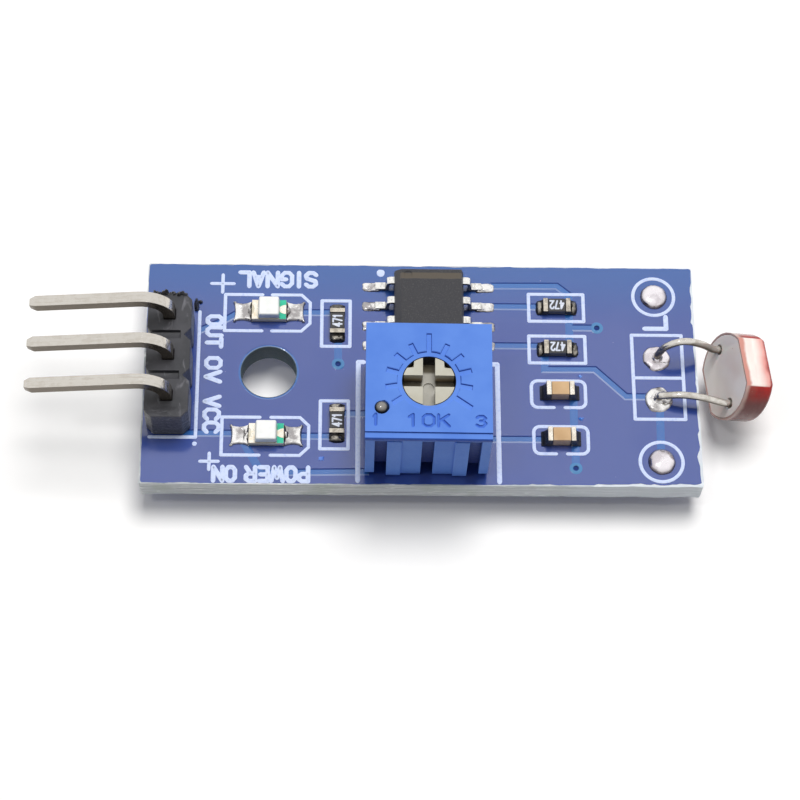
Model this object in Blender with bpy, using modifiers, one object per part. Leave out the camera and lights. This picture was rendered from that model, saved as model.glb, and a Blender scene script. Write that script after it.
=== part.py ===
"""Light sensor module: a circuit board with a photoresistor, a comparator, a trimmer and a pin header.

The origin is the middle of the board's underside. +X points to the photoresistor, +Y to the long edge
beside the comparator, and +Z up through the components. Lengths are in metres.
"""

import math

import bmesh
import bpy
from mathutils import Matrix, Vector

MM = 0.001

# Board
BOARD_LENGTH = 32.0 * MM
BOARD_WIDTH = 14.0 * MM
BOARD_THICKNESS = 1.6 * MM
BOARD_CORNER_RADIUS = 0.15 * MM
MOUNT_HOLE_DIAMETER = 3.2 * MM
MOUNT_HOLE_FROM_EDGE = 7.2 * MM
VIA_DIAMETER = 0.4 * MM
VIA_PLACES = ((-4.81 * MM, 0.55 * MM), (10.25 * MM, 3.0 * MM), (8.75 * MM, -5.87 * MM))

# Fits
SEAT_GAP = 0.02 * MM
RUNNING_GAP = 0.05 * MM

# Solder joints through the board
TAIL_LENGTH = 1.5 * MM
SOLDER_RADIUS = 0.8 * MM
SOLDER_NECK_RADIUS = 0.45 * MM
SOLDER_TIP_RADIUS = 0.36 * MM
SOLDER_BOTTOM_HEIGHT = 0.9 * MM
SOLDER_TOP_HEIGHT = 0.5 * MM
SPARE_DOME_HEIGHT = 0.42 * MM

# Pin header
HEADER_FROM_EDGE = 1.58 * MM
HEADER_Y = -0.12 * MM
HEADER_PITCH = 2.54 * MM
HEADER_PINS = 3
HEADER_WIDTH = 2.5 * MM
HEADER_HEIGHT = 2.5 * MM
HEADER_END_MARGIN = 0.06 * MM
HEADER_CHAMFER = 0.4 * MM
HEADER_POCKET_WIDTH = 0.5 * MM
HEADER_POCKET_DEPTH = 0.3 * MM
HEADER_POCKET_WALL = 0.6 * MM
HEADER_HOLE_DIAMETER = 1.0 * MM
PIN_SIZE = 0.64 * MM
PIN_RISE = 1.82 * MM
PIN_BEND_RADIUS = 1.5 * MM
PIN_REACH = 7.8 * MM
PIN_DROOP = math.radians(6.5)
PIN_TIP_LENGTH = 0.35 * MM
PIN_TIP_SIZE = 0.4 * MM

# Comparator, an eight-lead small-outline package
COMPARATOR_X = 0.43 * MM
COMPARATOR_FROM_EDGE = 0.93 * MM
COMPARATOR_LENGTH = 4.9 * MM
COMPARATOR_WIDTH = 4.05 * MM
COMPARATOR_HEIGHT = 1.42 * MM
COMPARATOR_STANDOFF = 0.15 * MM
COMPARATOR_DRAFT = 0.14 * MM
COMPARATOR_BEVEL_WIDTH = 0.42 * MM
COMPARATOR_BEVEL_DROP = 0.36 * MM
LEAD_PITCH = 1.27 * MM
LEADS_PER_SIDE = 4
LEAD_WIDTH = 0.42 * MM
LEAD_THICKNESS = 0.2 * MM
LEAD_SPAN = 6.2 * MM
LEAD_FOOT = 0.5 * MM
LEAD_BEND_RADIUS = 0.2 * MM
LEAD_SHOULDER = 0.36 * MM
LEAD_REACH_LIMIT = 0.22 * MM
LEAD_ROOT = 0.35 * MM
PIN_ONE_MARK_DIAMETER = 0.5 * MM
PIN_ONE_MARK_DEPTH = 0.06 * MM
PIN_ONE_MARK_FROM_END = 0.35 * MM
PIN_ONE_MARK_FROM_SIDE = 0.8 * MM

# Trimmer housing
TRIMMER_X = 0.24 * MM
TRIMMER_TURN = math.radians(-0.4)
TRIMMER_BEHIND_GAP = 0.6 * MM
TRIMMER_WIDTH = 7.0 * MM
TRIMMER_DEPTH = 7.0 * MM
TRIMMER_HEIGHT = 5.35 * MM
LEDGE_WIDTH = 0.38 * MM
LEDGE_DROP = 0.12 * MM
LIP_HEIGHT = 0.45 * MM
LIP_ROUND = 0.1 * MM
SKIRT_INSET = 0.03 * MM
CORE_INSET = 0.06 * MM
CORE_STANDOFF = 0.85 * MM
RECESS_DEPTH = 0.5 * MM
POST_WIDTH = 0.55 * MM
POST_STANDOFF = 0.4 * MM
SIDE_RECESS_WIDTH = 0.68 * MM
CENTRE_RECESS_WIDTH = 0.68 * MM
FOOT_STANDOFF = 0.12 * MM
FOOT_HEADROOM = 0.1 * MM
FOOT_INSET = 0.1 * MM
RIB_WIDTH = 0.8 * MM
RIB_REACH = 0.12 * MM
TOP_WALL = 0.9 * MM
CAVITY_WIDTH = 6.2 * MM
CAVITY_DEPTH = 5.0 * MM
HOUSING_CORNER_RADIUS = 0.15 * MM

# Dial moulded round the rotor
DIAL_OPENING_DIAMETER = 3.0 * MM
DIAL_RING_RADIUS = 1.75 * MM
DIAL_TICK_RADIUS = 2.42 * MM
DIAL_LONG_TICK_RADIUS = 2.85 * MM
DIAL_TICK_WIDTH = 0.25 * MM
DIAL_DEPTH = 0.1 * MM
DIAL_TICKS = 11
DIAL_FIRST_ANGLE = math.radians(-35.0)
DIAL_SWEEP = math.radians(250.0)
DIAL_LONG_TICKS = (0, 5)

# Rotor and the parts under it
ROTOR_SINK = 0.1 * MM
ROTOR_FLANGE_DIAMETER = 4.4 * MM
ROTOR_FLANGE_THICKNESS = 0.45 * MM
ROTOR_HUB_DIAMETER = 2.0 * MM
ROTOR_HUB_HEIGHT = 0.2 * MM
SLOT_WIDTH = 0.68 * MM
SLOT_DEPTH = 0.95 * MM
ROTOR_DIMPLE_DIAMETER = 0.62 * MM
ROTOR_DIMPLE_DEPTH = 0.12 * MM
POINTER_NOTCH_ANGLES = (math.radians(44.0), math.radians(136.0))
POINTER_NOTCH_WIDTH = 0.62 * MM
POINTER_NOTCH_RADIAL = 0.26 * MM
POINTER_NOTCH_DEPTH = 0.5 * MM
SEAL_RING_THICKNESS = 0.4 * MM
WIPER_THICKNESS = 0.1 * MM
WIPER_WIDTH = 1.2 * MM
WIPER_CONTACT_INSET = 0.3 * MM
WIPER_FLAT_RADIUS = 0.8 * MM
WIPER_TIP_LENGTH = 0.22 * MM
WIPER_TIP_RISE = 0.14 * MM
WIPER_DROP = 0.72 * MM
ELEMENT_THICKNESS = 0.6 * MM
BASE_RECESS = 0.3 * MM
TRIMMER_PIN_DIAMETER = 0.5 * MM
TRIMMER_PIN_SPACING = 5.08 * MM
TRIMMER_PIN_OFFSET = 2.54 * MM
TRIMMER_PIN_ROW = -1.8 * MM
TRIMMER_HOLE_DIAMETER = 0.9 * MM
PLUG_BALL_DIAMETER = 0.8 * MM
PLUG_BALL_X = -2.6 * MM
PLUG_BALL_Y = -1.67 * MM
PLUG_BALL_PROUD = 0.3 * MM

# Indicator lamps
LED_X = -8.85 * MM
LED_PLACES = (("signal_led", 3.82 * MM), ("power_led", -4.02 * MM))
LED_LENGTH = 2.0 * MM
LED_WIDTH = 1.25 * MM
LED_BASE_HEIGHT = 0.35 * MM
LED_LENS_LENGTH = 1.3 * MM
LED_LENS_HEIGHT = 0.58 * MM
LED_LENS_DRAFT = 0.09 * MM
LED_LENS_SIDE_INSET = 0.04 * MM
LED_LENS_EDGE_ROUND = 0.06 * MM
LED_SOLDER_REACH = 1.02 * MM
LED_SOLDER_HEIGHT = 0.33 * MM
LED_SOLDER_WIDTH = 1.3 * MM

# Chip resistors and capacitors: name, x, y and turn about the vertical
CHIP_LENGTH = 1.6 * MM
CHIP_WIDTH = 0.88 * MM
CHIP_END = 0.28 * MM
CHIP_FILLET_REACH = 0.34 * MM
CHIP_FILLET_TOE = 0.05 * MM
RESISTOR_HEIGHT = 0.47 * MM
CAPACITOR_HEIGHT = 0.8 * MM
CHIP_EDGE = 0.03 * MM
RESISTOR_PLACES = (
    ("led_resistor_1", -4.87 * MM, 3.12 * MM, math.radians(90.0)),
    ("led_resistor_2", -4.84 * MM, -3.2 * MM, math.radians(90.0)),
    ("divider_resistor", 7.92 * MM, 4.25 * MM, 0.0),
    ("pullup_resistor", 7.9 * MM, 1.55 * MM, 0.0),
)
CAPACITOR_PLACES = (
    ("filter_capacitor_1", 7.95 * MM, -1.22 * MM, 0.0),
    ("filter_capacitor_2", 7.95 * MM, -4.09 * MM, 0.0),
)

# Pads at the sensor end
SENSOR_PADS_FROM_EDGE = 2.34 * MM
SENSOR_PADS_Y = -0.26 * MM
SENSOR_PAD_SPACING = 2.62 * MM
SENSOR_HOLE_DIAMETER = 0.9 * MM
SPARE_PAD_FROM_BACK_EDGE = 1.95 * MM
SPARE_PAD_FROM_FRONT_EDGE = 1.55 * MM

# Photoresistor
SENSOR_DIAMETER = 5.07 * MM
SENSOR_FLATS = 4.23 * MM
SENSOR_THICKNESS = 1.85 * MM
SENSOR_REACH = 1.41 * MM
SENSOR_Y = -0.36 * MM
SENSOR_RISE = 0.68 * MM
SENSOR_LEAN = math.radians(21.5)
SENSOR_SWING = math.radians(6.7)
SENSOR_COAT = 0.12 * MM
SENSOR_CERAMIC = 1.25 * MM
SENSOR_TRACK_THICKNESS = 0.06 * MM
SENSOR_TRACK_WIDTH = 0.34 * MM
SENSOR_TRACK_PITCH = 0.66 * MM
SENSOR_TRACK_RUNS = 5
SENSOR_TRACK_LENGTH = 2.3 * MM
SENSOR_EDGE_ROUND = 0.3 * MM
SENSOR_LEAD_DIAMETER = 0.42 * MM
SENSOR_LEAD_SPACING = 3.4 * MM
SENSOR_LEAD_HOLE = 0.62 * MM
SENSOR_SOLDER_COLLAR = 0.07 * MM
SENSOR_SOLDER_SHOULDER = 0.5 * MM
SENSOR_SOLDER_SLOPE = 0.68 * MM
SENSOR_LEAD_ROUTES = (
    ((0.1, 1.55 * MM), (0.36, 2.1 * MM), (0.66, 1.6 * MM)),
    ((0.1, 0.72 * MM), (0.32, 1.02 * MM), (0.62, 0.98 * MM)),
)

# Facets of round shapes
FINE = 40
MEDIUM = 24
COARSE = 16
ARC_STEPS = 4

# Heights that several pieces share
BOARD_TOP = BOARD_THICKNESS
SEAT_Z = BOARD_TOP + SEAT_GAP
TAIL_Z = -TAIL_LENGTH
OVERSHOOT = 0.5 * MM
HOLDER_DISPLAY_SIZE = 1.0 * MM

for leftover in list(bpy.data.objects):
    bpy.data.objects.remove(leftover)

parts = bpy.data.collections.new("light_sensor_module")
cutters = bpy.data.collections.new("cutters")
for collection in (parts, cutters):
    bpy.context.scene.collection.children.link(collection)


def material(name, colour, roughness, metallic=0.0):
    """A plain finish for one kind of surface."""
    made = bpy.data.materials.new(name)
    made.use_nodes = True
    shader = made.node_tree.nodes["Principled BSDF"]
    shader.inputs["Base Color"].default_value = (*colour, 1.0)
    shader.inputs["Roughness"].default_value = roughness
    shader.inputs["Metallic"].default_value = metallic
    made.diffuse_color = (*colour, 1.0)
    return made


MASK_BLUE = material("blue_solder_mask", (0.03, 0.08, 0.32), 0.3)
HEADER_BLACK = material("black_header_plastic", (0.02, 0.02, 0.023), 0.5)
PIN_METAL = material("plated_pin_metal", (0.72, 0.69, 0.62), 0.25, 1.0)
LEAD_METAL = material("tinned_lead_metal", (0.7, 0.7, 0.7), 0.3, 1.0)
SOLDER = material("solder", (0.74, 0.74, 0.73), 0.22, 1.0)
PACKAGE_BLACK = material("black_package_epoxy", (0.03, 0.03, 0.032), 0.6)
TRIMMER_BLUE = material("blue_trimmer_plastic", (0.05, 0.2, 0.72), 0.4)
ROTOR_CREAM = material("cream_rotor_plastic", (0.62, 0.6, 0.5), 0.45)
SEAL_RUBBER = material("black_seal_rubber", (0.02, 0.02, 0.02), 0.7)
SPRING_METAL = material("spring_metal", (0.8, 0.7, 0.45), 0.3, 1.0)
CERAMIC_WHITE = material("white_ceramic", (0.8, 0.79, 0.76), 0.5)
BASE_EPOXY = material("base_epoxy", (0.08, 0.12, 0.25), 0.6)
BALL_STEEL = material("ball_steel", (0.6, 0.57, 0.52), 0.15, 1.0)
LED_WHITE = material("led_base_white", (0.78, 0.8, 0.78), 0.4)
LED_CLEAR = material("led_lens_resin", (0.85, 0.88, 0.86), 0.15)
RESISTOR_BLACK = material("resistor_glaze_black", (0.02, 0.02, 0.022), 0.35)
CAPACITOR_TAN = material("capacitor_ceramic_tan", (0.42, 0.22, 0.08), 0.45)
SENSOR_GREY = material("sensor_ceramic_grey", (0.45, 0.4, 0.38), 0.6)
SENSOR_RED = material("sensor_coat_red", (0.2, 0.02, 0.015), 0.12)
TRACK_ORANGE = material("sensor_track_orange", (0.6, 0.12, 0.03), 0.5)


def link(name, mesh, finish, parent=None, location=(0, 0, 0), turn=0.0):
    """Puts a mesh in the scene as a sub-part."""
    piece = bpy.data.objects.new(name, mesh)
    if finish is not None:
        if not mesh.materials:
            mesh.materials.append(finish)
        parts.objects.link(piece)
    else:
        cutters.objects.link(piece)
        piece.hide_render = True
        piece.display_type = "WIRE"
    piece.parent = parent
    piece.location = location
    piece.rotation_euler = (0, 0, turn)
    return piece


def holder(name, location, rotation=(0, 0, 0), order="XYZ"):
    """An empty that places the pieces of one component."""
    empty = bpy.data.objects.new(name, None)
    empty.empty_display_size = HOLDER_DISPLAY_SIZE
    parts.objects.link(empty)
    empty.rotation_mode = order
    empty.location = location
    empty.rotation_euler = rotation
    return empty


def smooth(mesh, angle=40.0):
    mesh.shade_smooth()
    mesh.set_sharp_from_angle(angle=math.radians(angle))


def baked(temporary, scale=1.0, shift=(0, 0, 0)):
    """The welded mesh of a temporary object as its modifiers leave it, and the object removed."""
    bpy.context.scene.collection.objects.link(temporary)
    bpy.context.view_layer.update()
    graph = bpy.context.evaluated_depsgraph_get()
    mesh = bpy.data.meshes.new_from_object(temporary.evaluated_get(graph))
    mesh.name = temporary.name
    bpy.data.objects.remove(temporary)
    shape = bmesh.new()
    shape.from_mesh(mesh)
    bmesh.ops.remove_doubles(shape, verts=shape.verts, dist=0.0005 * MM / scale)
    bmesh.ops.scale(shape, vec=(scale, scale, scale), verts=shape.verts)
    bmesh.ops.translate(shape, vec=shift, verts=shape.verts)
    bmesh.ops.recalc_face_normals(shape, faces=shape.faces)
    shape.to_mesh(mesh)
    shape.free()
    return mesh


def plate_mesh(name, outlines, bottom, top):
    """A flat piece between two heights. The first outline is its edge and the others are holes."""
    curve = bpy.data.curves.new(name, "CURVE")
    curve.dimensions = "2D"
    curve.fill_mode = "BOTH"
    curve.extrude = (top - bottom) / 2 / MM
    for outline in outlines:
        spline = curve.splines.new("POLY")
        spline.points.add(len(outline) - 1)
        for point, (x, y) in zip(spline.points, outline):
            point.co = (x / MM, y / MM, 0.0, 1.0)
        spline.use_cyclic_u = True
    mesh = baked(bpy.data.objects.new(name, curve), MM, (0, 0, (top + bottom) / 2))
    mesh.shade_flat()
    return mesh


def side_plate_mesh(name, outline, width):
    """A flat piece standing in the XZ plane, with its width along Y."""
    mesh = plate_mesh(name, [outline], -width / 2, width / 2)
    mesh.transform(Matrix.Rotation(math.radians(90), 4, "X"))
    return mesh


def turned_mesh(name, profile, steps, closed=False):
    """A turned shape. The profile is (radius, height), running down its outer side."""
    mesh = bpy.data.meshes.new(name)
    count = len(profile)
    edges = [(i, (i + 1) % count) for i in range(count if closed else count - 1)]
    mesh.from_pydata([(radius, 0, height) for radius, height in profile], edges, [])
    turned = bpy.data.objects.new(name, mesh)
    screw = turned.modifiers.new("turn", "SCREW")
    screw.steps = steps
    screw.render_steps = steps
    screw.use_merge_vertices = True
    screw.merge_threshold = 0.0005 * MM
    result = baked(turned)
    smooth(result)
    return result


def lofted_mesh(name, sections):
    """A closed skin through sections that hold the same number of points."""
    shape = bmesh.new()
    rings = [[shape.verts.new(point) for point in section] for section in sections]
    count = len(sections[0])
    for lower, upper in zip(rings, rings[1:]):
        for i in range(count):
            j = (i + 1) % count
            shape.faces.new((lower[i], lower[j], upper[j], upper[i]))
    shape.faces.new(rings[0])
    shape.faces.new(rings[-1])
    bmesh.ops.recalc_face_normals(shape, faces=shape.faces)
    mesh = bpy.data.meshes.new(name)
    shape.to_mesh(mesh)
    shape.free()
    return mesh


def box_mesh(name, size, centre=(0, 0, 0)):
    shape = bmesh.new()
    bmesh.ops.create_cube(shape, size=1.0)
    bmesh.ops.scale(shape, vec=size, verts=shape.verts)
    bmesh.ops.translate(shape, vec=centre, verts=shape.verts)
    mesh = bpy.data.meshes.new(name)
    shape.to_mesh(mesh)
    shape.free()
    return mesh


def ball_mesh(name, radius, centre):
    shape = bmesh.new()
    bmesh.ops.create_uvsphere(shape, u_segments=COARSE, v_segments=COARSE // 2, radius=radius)
    bmesh.ops.translate(shape, vec=centre, verts=shape.verts)
    mesh = bpy.data.meshes.new(name)
    shape.to_mesh(mesh)
    shape.free()
    smooth(mesh)
    return mesh


def wire_mesh(name, points, diameter):
    """A round wire through the points."""
    curve = bpy.data.curves.new(name, "CURVE")
    curve.dimensions = "3D"
    curve.bevel_depth = diameter / 2 / MM
    curve.bevel_resolution = 2
    curve.use_fill_caps = True
    spline = curve.splines.new("POLY")
    spline.points.add(len(points) - 1)
    for point, place in zip(spline.points, points):
        point.co = (place[0] / MM, place[1] / MM, place[2] / MM, 1.0)
    mesh = baked(bpy.data.objects.new(name, curve), MM)
    smooth(mesh)
    return mesh


def boolean(piece, other, operation):
    step = piece.modifiers.new(operation.lower(), "BOOLEAN")
    step.operation = operation
    step.solver = "EXACT"
    step.object = other


def cut(piece, name, mesh, parent=None, location=(0, 0, 0), turn=0.0):
    boolean(piece, link(name, mesh, None, parent, location, turn), "DIFFERENCE")


def bevel(piece, width, segments=1, angle=30.0):
    step = piece.modifiers.new("edges", "BEVEL")
    step.width = width
    step.segments = segments
    step.limit_method = "ANGLE"
    step.angle_limit = math.radians(angle)


def circle(x, y, radius, steps):
    angles = [2 * math.pi * i / steps for i in range(steps)]
    return [(x + radius * math.cos(a), y + radius * math.sin(a)) for a in angles]


def arc(x, y, radius, start, end, steps):
    angles = [start + (end - start) * i / steps for i in range(steps + 1)]
    return [(x + radius * math.cos(a), y + radius * math.sin(a)) for a in angles]


def rounded_rectangle(width, depth, radius):
    outline = []
    for quarter, (side_x, side_y) in enumerate(((1, 1), (-1, 1), (-1, -1), (1, -1))):
        start = quarter * math.pi / 2
        x = side_x * (width / 2 - radius)
        y = side_y * (depth / 2 - radius)
        outline += arc(x, y, radius, start, start + math.pi / 2, ARC_STEPS)
    return outline


def ribbon(path, thickness):
    """The outline of a bent strip whose middle line is the path."""
    left, right = [], []
    for i, (x, y) in enumerate(path):
        before = Vector(path[max(i - 1, 0)])
        after = Vector(path[min(i + 1, len(path) - 1)])
        along = (after - before).normalized()
        side = Vector((-along.y, along.x)) * thickness / 2
        left.append((x + side.x, y + side.y))
        right.append((x - side.x, y - side.y))
    return left + right[::-1]


def bend(corner_x, corner_z, radius, start, end):
    """Points round a bend, given the middle of its circle and the angles in degrees."""
    return arc(corner_x, corner_z, radius, math.radians(start), math.radians(end), ARC_STEPS)


# Places that the board and its parts share
header_x = -BOARD_LENGTH / 2 + HEADER_FROM_EDGE
pin_rows = [HEADER_Y + HEADER_PITCH * ((HEADER_PINS - 1) / 2 - i) for i in range(HEADER_PINS)]
comparator_y = BOARD_WIDTH / 2 - COMPARATOR_FROM_EDGE - COMPARATOR_LENGTH / 2
trimmer_y = comparator_y - COMPARATOR_LENGTH / 2 - TRIMMER_BEHIND_GAP - TRIMMER_DEPTH / 2
sensor_pad_x = BOARD_LENGTH / 2 - SENSOR_PADS_FROM_EDGE
sensor_pad_ys = (SENSOR_PADS_Y + SENSOR_PAD_SPACING / 2, SENSOR_PADS_Y - SENSOR_PAD_SPACING / 2)
spare_pad_ys = (
    BOARD_WIDTH / 2 - SPARE_PAD_FROM_BACK_EDGE,
    -BOARD_WIDTH / 2 + SPARE_PAD_FROM_FRONT_EDGE,
)
mount_hole_x = -BOARD_LENGTH / 2 + MOUNT_HOLE_FROM_EDGE

trimmer_pins = (
    (-TRIMMER_PIN_SPACING / 2, TRIMMER_PIN_ROW),
    (0.0, TRIMMER_PIN_ROW + TRIMMER_PIN_OFFSET),
    (TRIMMER_PIN_SPACING / 2, TRIMMER_PIN_ROW),
)
trimmer_frame = Matrix.Translation((TRIMMER_X, trimmer_y, 0)) @ Matrix.Rotation(TRIMMER_TURN, 4, "Z")


def make_board():
    """The drilled board."""
    outlines = [rounded_rectangle(BOARD_LENGTH, BOARD_WIDTH, BOARD_CORNER_RADIUS)]
    outlines.append(circle(mount_hole_x, 0, MOUNT_HOLE_DIAMETER / 2, FINE))
    for x, y in VIA_PLACES:
        outlines.append(circle(x, y, VIA_DIAMETER / 2, COARSE // 2))
    for y in pin_rows:
        outlines.append(circle(header_x, y, HEADER_HOLE_DIAMETER / 2, COARSE))
    for x, y in trimmer_pins:
        place = trimmer_frame @ Vector((x, y, 0))
        outlines.append(circle(place.x, place.y, TRIMMER_HOLE_DIAMETER / 2, COARSE))
    for y in (*sensor_pad_ys, *spare_pad_ys):
        outlines.append(circle(sensor_pad_x, y, SENSOR_HOLE_DIAMETER / 2, COARSE))
    link("circuit_board", plate_mesh("circuit_board", outlines, 0, BOARD_TOP), MASK_BLUE)


def joint_mesh(name, hole_diameter):
    """Solder under the board, with the plug that fills a hole."""
    plug = hole_diameter / 2 - SEAT_GAP
    profile = [
        (0, BOARD_TOP - SEAT_GAP),
        (plug, BOARD_TOP - SEAT_GAP),
        (plug, -SEAT_GAP),
        (SOLDER_RADIUS, -SEAT_GAP),
        (SOLDER_RADIUS, -3 * SEAT_GAP),
        (SOLDER_NECK_RADIUS, -SOLDER_BOTTOM_HEIGHT / 2),
        (SOLDER_TIP_RADIUS, -SOLDER_BOTTOM_HEIGHT),
        (0, -SOLDER_BOTTOM_HEIGHT),
    ]
    return turned_mesh(name, profile, COARSE)


def make_header():
    """The black insulator and its three pins, bent over the end of the board."""
    right, left = [], []
    half = HEADER_WIDTH / 2
    for i, y in enumerate(pin_rows[::-1]):
        low = y - HEADER_PITCH / 2 - (HEADER_END_MARGIN if i == 0 else 0)
        high = y + HEADER_PITCH / 2 + (HEADER_END_MARGIN if i == HEADER_PINS - 1 else 0)
        block = [
            (half - HEADER_CHAMFER, low),
            (half, low + HEADER_CHAMFER),
            (half, high - HEADER_CHAMFER),
        ]
        right += block
        left += [(-x, y) for x, y in block]
    right.append((half - HEADER_CHAMFER, high))
    left.append((-half + HEADER_CHAMFER, high))
    outline = right + left[::-1]
    opening = PIN_SIZE / 2 + SEAT_GAP
    holes = [
        [(-opening, y - opening), (opening, y - opening), (opening, y + opening), (-opening, y + opening)]
        for y in pin_rows
    ]
    top = SEAT_Z + HEADER_HEIGHT
    mesh = plate_mesh("header_insulator", [outline, *holes], SEAT_Z, top)
    insulator = link("header_insulator", mesh, HEADER_BLACK, location=(header_x, 0, 0))
    length = HEADER_WIDTH - HEADER_POCKET_WALL + OVERSHOOT
    for i, (upper, lower) in enumerate(zip(pin_rows, pin_rows[1:])):
        size = (length, HEADER_POCKET_WIDTH, 2 * HEADER_POCKET_DEPTH)
        pocket = box_mesh("header_pocket", size)
        place = (header_x + half - HEADER_POCKET_WALL - length / 2, (upper + lower) / 2, top)
        cut(insulator, f"header_pocket_{i + 1}", pocket, location=place)

    centre_z = top + PIN_RISE - PIN_BEND_RADIUS
    finish = math.pi / 2 + PIN_DROOP
    path = [((0, TAIL_Z), 0.0, PIN_SIZE), ((0, centre_z), 0.0, PIN_SIZE)]
    steps = 8
    for i in range(1, steps + 1):
        angle = finish * i / steps
        x = -PIN_BEND_RADIUS + PIN_BEND_RADIUS * math.cos(angle)
        z = centre_z + PIN_BEND_RADIUS * math.sin(angle)
        path.append(((x, z), angle, PIN_SIZE))
    run = (PIN_REACH + x) / math.cos(PIN_DROOP)
    shoulder = run - PIN_TIP_LENGTH
    for distance, size in ((shoulder, PIN_SIZE), (run, PIN_TIP_SIZE)):
        end = (x - distance * math.cos(PIN_DROOP), z - distance * math.sin(PIN_DROOP))
        path.append((end, finish, size))
    sections = []
    for (x, z), angle, size in path:
        out = Vector((math.cos(angle), 0, math.sin(angle))) * size / 2
        side = Vector((0, size / 2, 0))
        middle = Vector((x, 0, z))
        sections.append([middle + out + side, middle + out - side, middle - out - side, middle - out + side])
    pin_mesh = lofted_mesh("header_pin", sections)
    solder_mesh = joint_mesh("header_joint", HEADER_HOLE_DIAMETER)
    for i, y in enumerate(pin_rows):
        pin = link(f"header_pin_{i + 1}", pin_mesh, PIN_METAL, location=(header_x, y, 0))
        joint = link(f"header_joint_{i + 1}", solder_mesh, None, location=(header_x, y, 0))
        boolean(pin, joint, "UNION")


def make_comparator():
    """The moulded package and its eight gull-wing leads."""
    centre = holder("comparator", (COMPARATOR_X, comparator_y, 0))
    bottom = BOARD_TOP + COMPARATOR_STANDOFF
    top = bottom + COMPARATOR_HEIGHT
    parting = (bottom + top) / 2
    half_x = COMPARATOR_WIDTH / 2
    half_y = COMPARATOR_LENGTH / 2

    def section(z, inset, left_inset):
        x0, x1 = -half_x + left_inset, half_x - inset
        y0, y1 = -half_y + inset, half_y - inset
        return [(x0, y0, z), (x1, y0, z), (x1, y1, z), (x0, y1, z)]

    bevel_share = (top - COMPARATOR_BEVEL_DROP - parting) / (top - parting)
    inset = COMPARATOR_DRAFT * bevel_share
    sections = [
        section(bottom, COMPARATOR_DRAFT, COMPARATOR_DRAFT),
        section(parting, 0, 0),
        section(top - COMPARATOR_BEVEL_DROP, inset, inset),
        section(top, COMPARATOR_DRAFT, COMPARATOR_BEVEL_WIDTH),
    ]
    body = link("comparator_package", lofted_mesh("comparator_package", sections), PACKAGE_BLACK, centre)
    middle = COMPARATOR_WIDTH / 2 - LEAD_ROOT
    slot_size = (
        COMPARATOR_WIDTH,
        LEAD_WIDTH + 2 * SEAT_GAP,
        LEAD_THICKNESS + 2 * SEAT_GAP,
    )
    slot = box_mesh("lead_slot", slot_size, (middle + COMPARATOR_WIDTH / 2 - SEAT_GAP, 0, parting))

    radius = LEAD_BEND_RADIUS
    foot_z = BOARD_TOP + SEAT_GAP + LEAD_THICKNESS / 2
    toe = LEAD_SPAN / 2
    heel = toe - LEAD_FOOT
    # The shoulder grows with the span, so that the drop between the bends stays steep
    shoulder_end = max(half_x + LEAD_SHOULDER, heel - LEAD_REACH_LIMIT)
    shoulder_x = shoulder_end - radius
    slope = math.degrees(math.atan2(parting - foot_z - 2 * radius, heel - shoulder_end))
    lean = 90 - slope
    path = [(half_x - LEAD_ROOT, parting)]
    path += bend(shoulder_x, parting - radius, radius, 90, lean)
    path += bend(heel, foot_z + radius, radius, 180 + lean, 270)
    path.append((toe, foot_z))
    lead_mesh = side_plate_mesh("comparator_lead", ribbon(path, LEAD_THICKNESS), LEAD_WIDTH)

    for i in range(2 * LEADS_PER_SIDE):
        on_left = i < LEADS_PER_SIDE
        row = i if on_left else 2 * LEADS_PER_SIDE - 1 - i
        y = LEAD_PITCH * ((LEADS_PER_SIDE - 1) / 2 - row)
        turn = math.pi if on_left else 0.0
        cut(body, f"lead_slot_{i + 1}", slot, centre, (0, y, 0), turn)
        link(f"comparator_lead_{i + 1}", lead_mesh, LEAD_METAL, centre, (0, y, 0), turn)
    mark = plate_mesh(
        "pin_one_mark",
        [circle(0, 0, PIN_ONE_MARK_DIAMETER / 2, COARSE)],
        top - PIN_ONE_MARK_DEPTH,
        top + OVERSHOOT,
    )
    mark_x = -half_x + PIN_ONE_MARK_FROM_SIDE
    mark_y = half_y - COMPARATOR_DRAFT - PIN_ONE_MARK_FROM_END
    cut(body, "pin_one_mark", mark, centre, (mark_x, mark_y, 0))


def feet_outlines():
    """The plan of the four feet, each with a raised rib along its outer side."""
    inner = TRIMMER_DEPTH / 2 - 2 * RECESS_DEPTH
    foot_face = TRIMMER_DEPTH / 2 - FOOT_INSET
    rib_face = foot_face + RIB_REACH
    foot_start = CENTRE_RECESS_WIDTH / 2
    rib_end = TRIMMER_WIDTH / 2 - POST_WIDTH - SIDE_RECESS_WIDTH
    rib_start = rib_end - RIB_WIDTH
    foot = [
        (foot_start, inner),
        (rib_end, inner),
        (rib_end, rib_face),
        (rib_start, rib_face),
        (rib_start, foot_face),
        (foot_start, foot_face),
    ]
    return mirrored_four_ways(foot)


def posts_outlines():
    """The plan of the four corner posts."""
    x1 = TRIMMER_WIDTH / 2 - SKIRT_INSET
    x0 = TRIMMER_WIDTH / 2 - POST_WIDTH
    y1 = TRIMMER_DEPTH / 2 - SKIRT_INSET
    y0 = TRIMMER_DEPTH / 2 - 2 * RECESS_DEPTH
    return mirrored_four_ways([(x0, y0), (x1, y0), (x1, y1), (x0, y1)])


def mirrored_four_ways(outline):
    return [[(side * x, end * y) for x, y in outline] for side in (-1, 1) for end in (-1, 1)]


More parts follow.
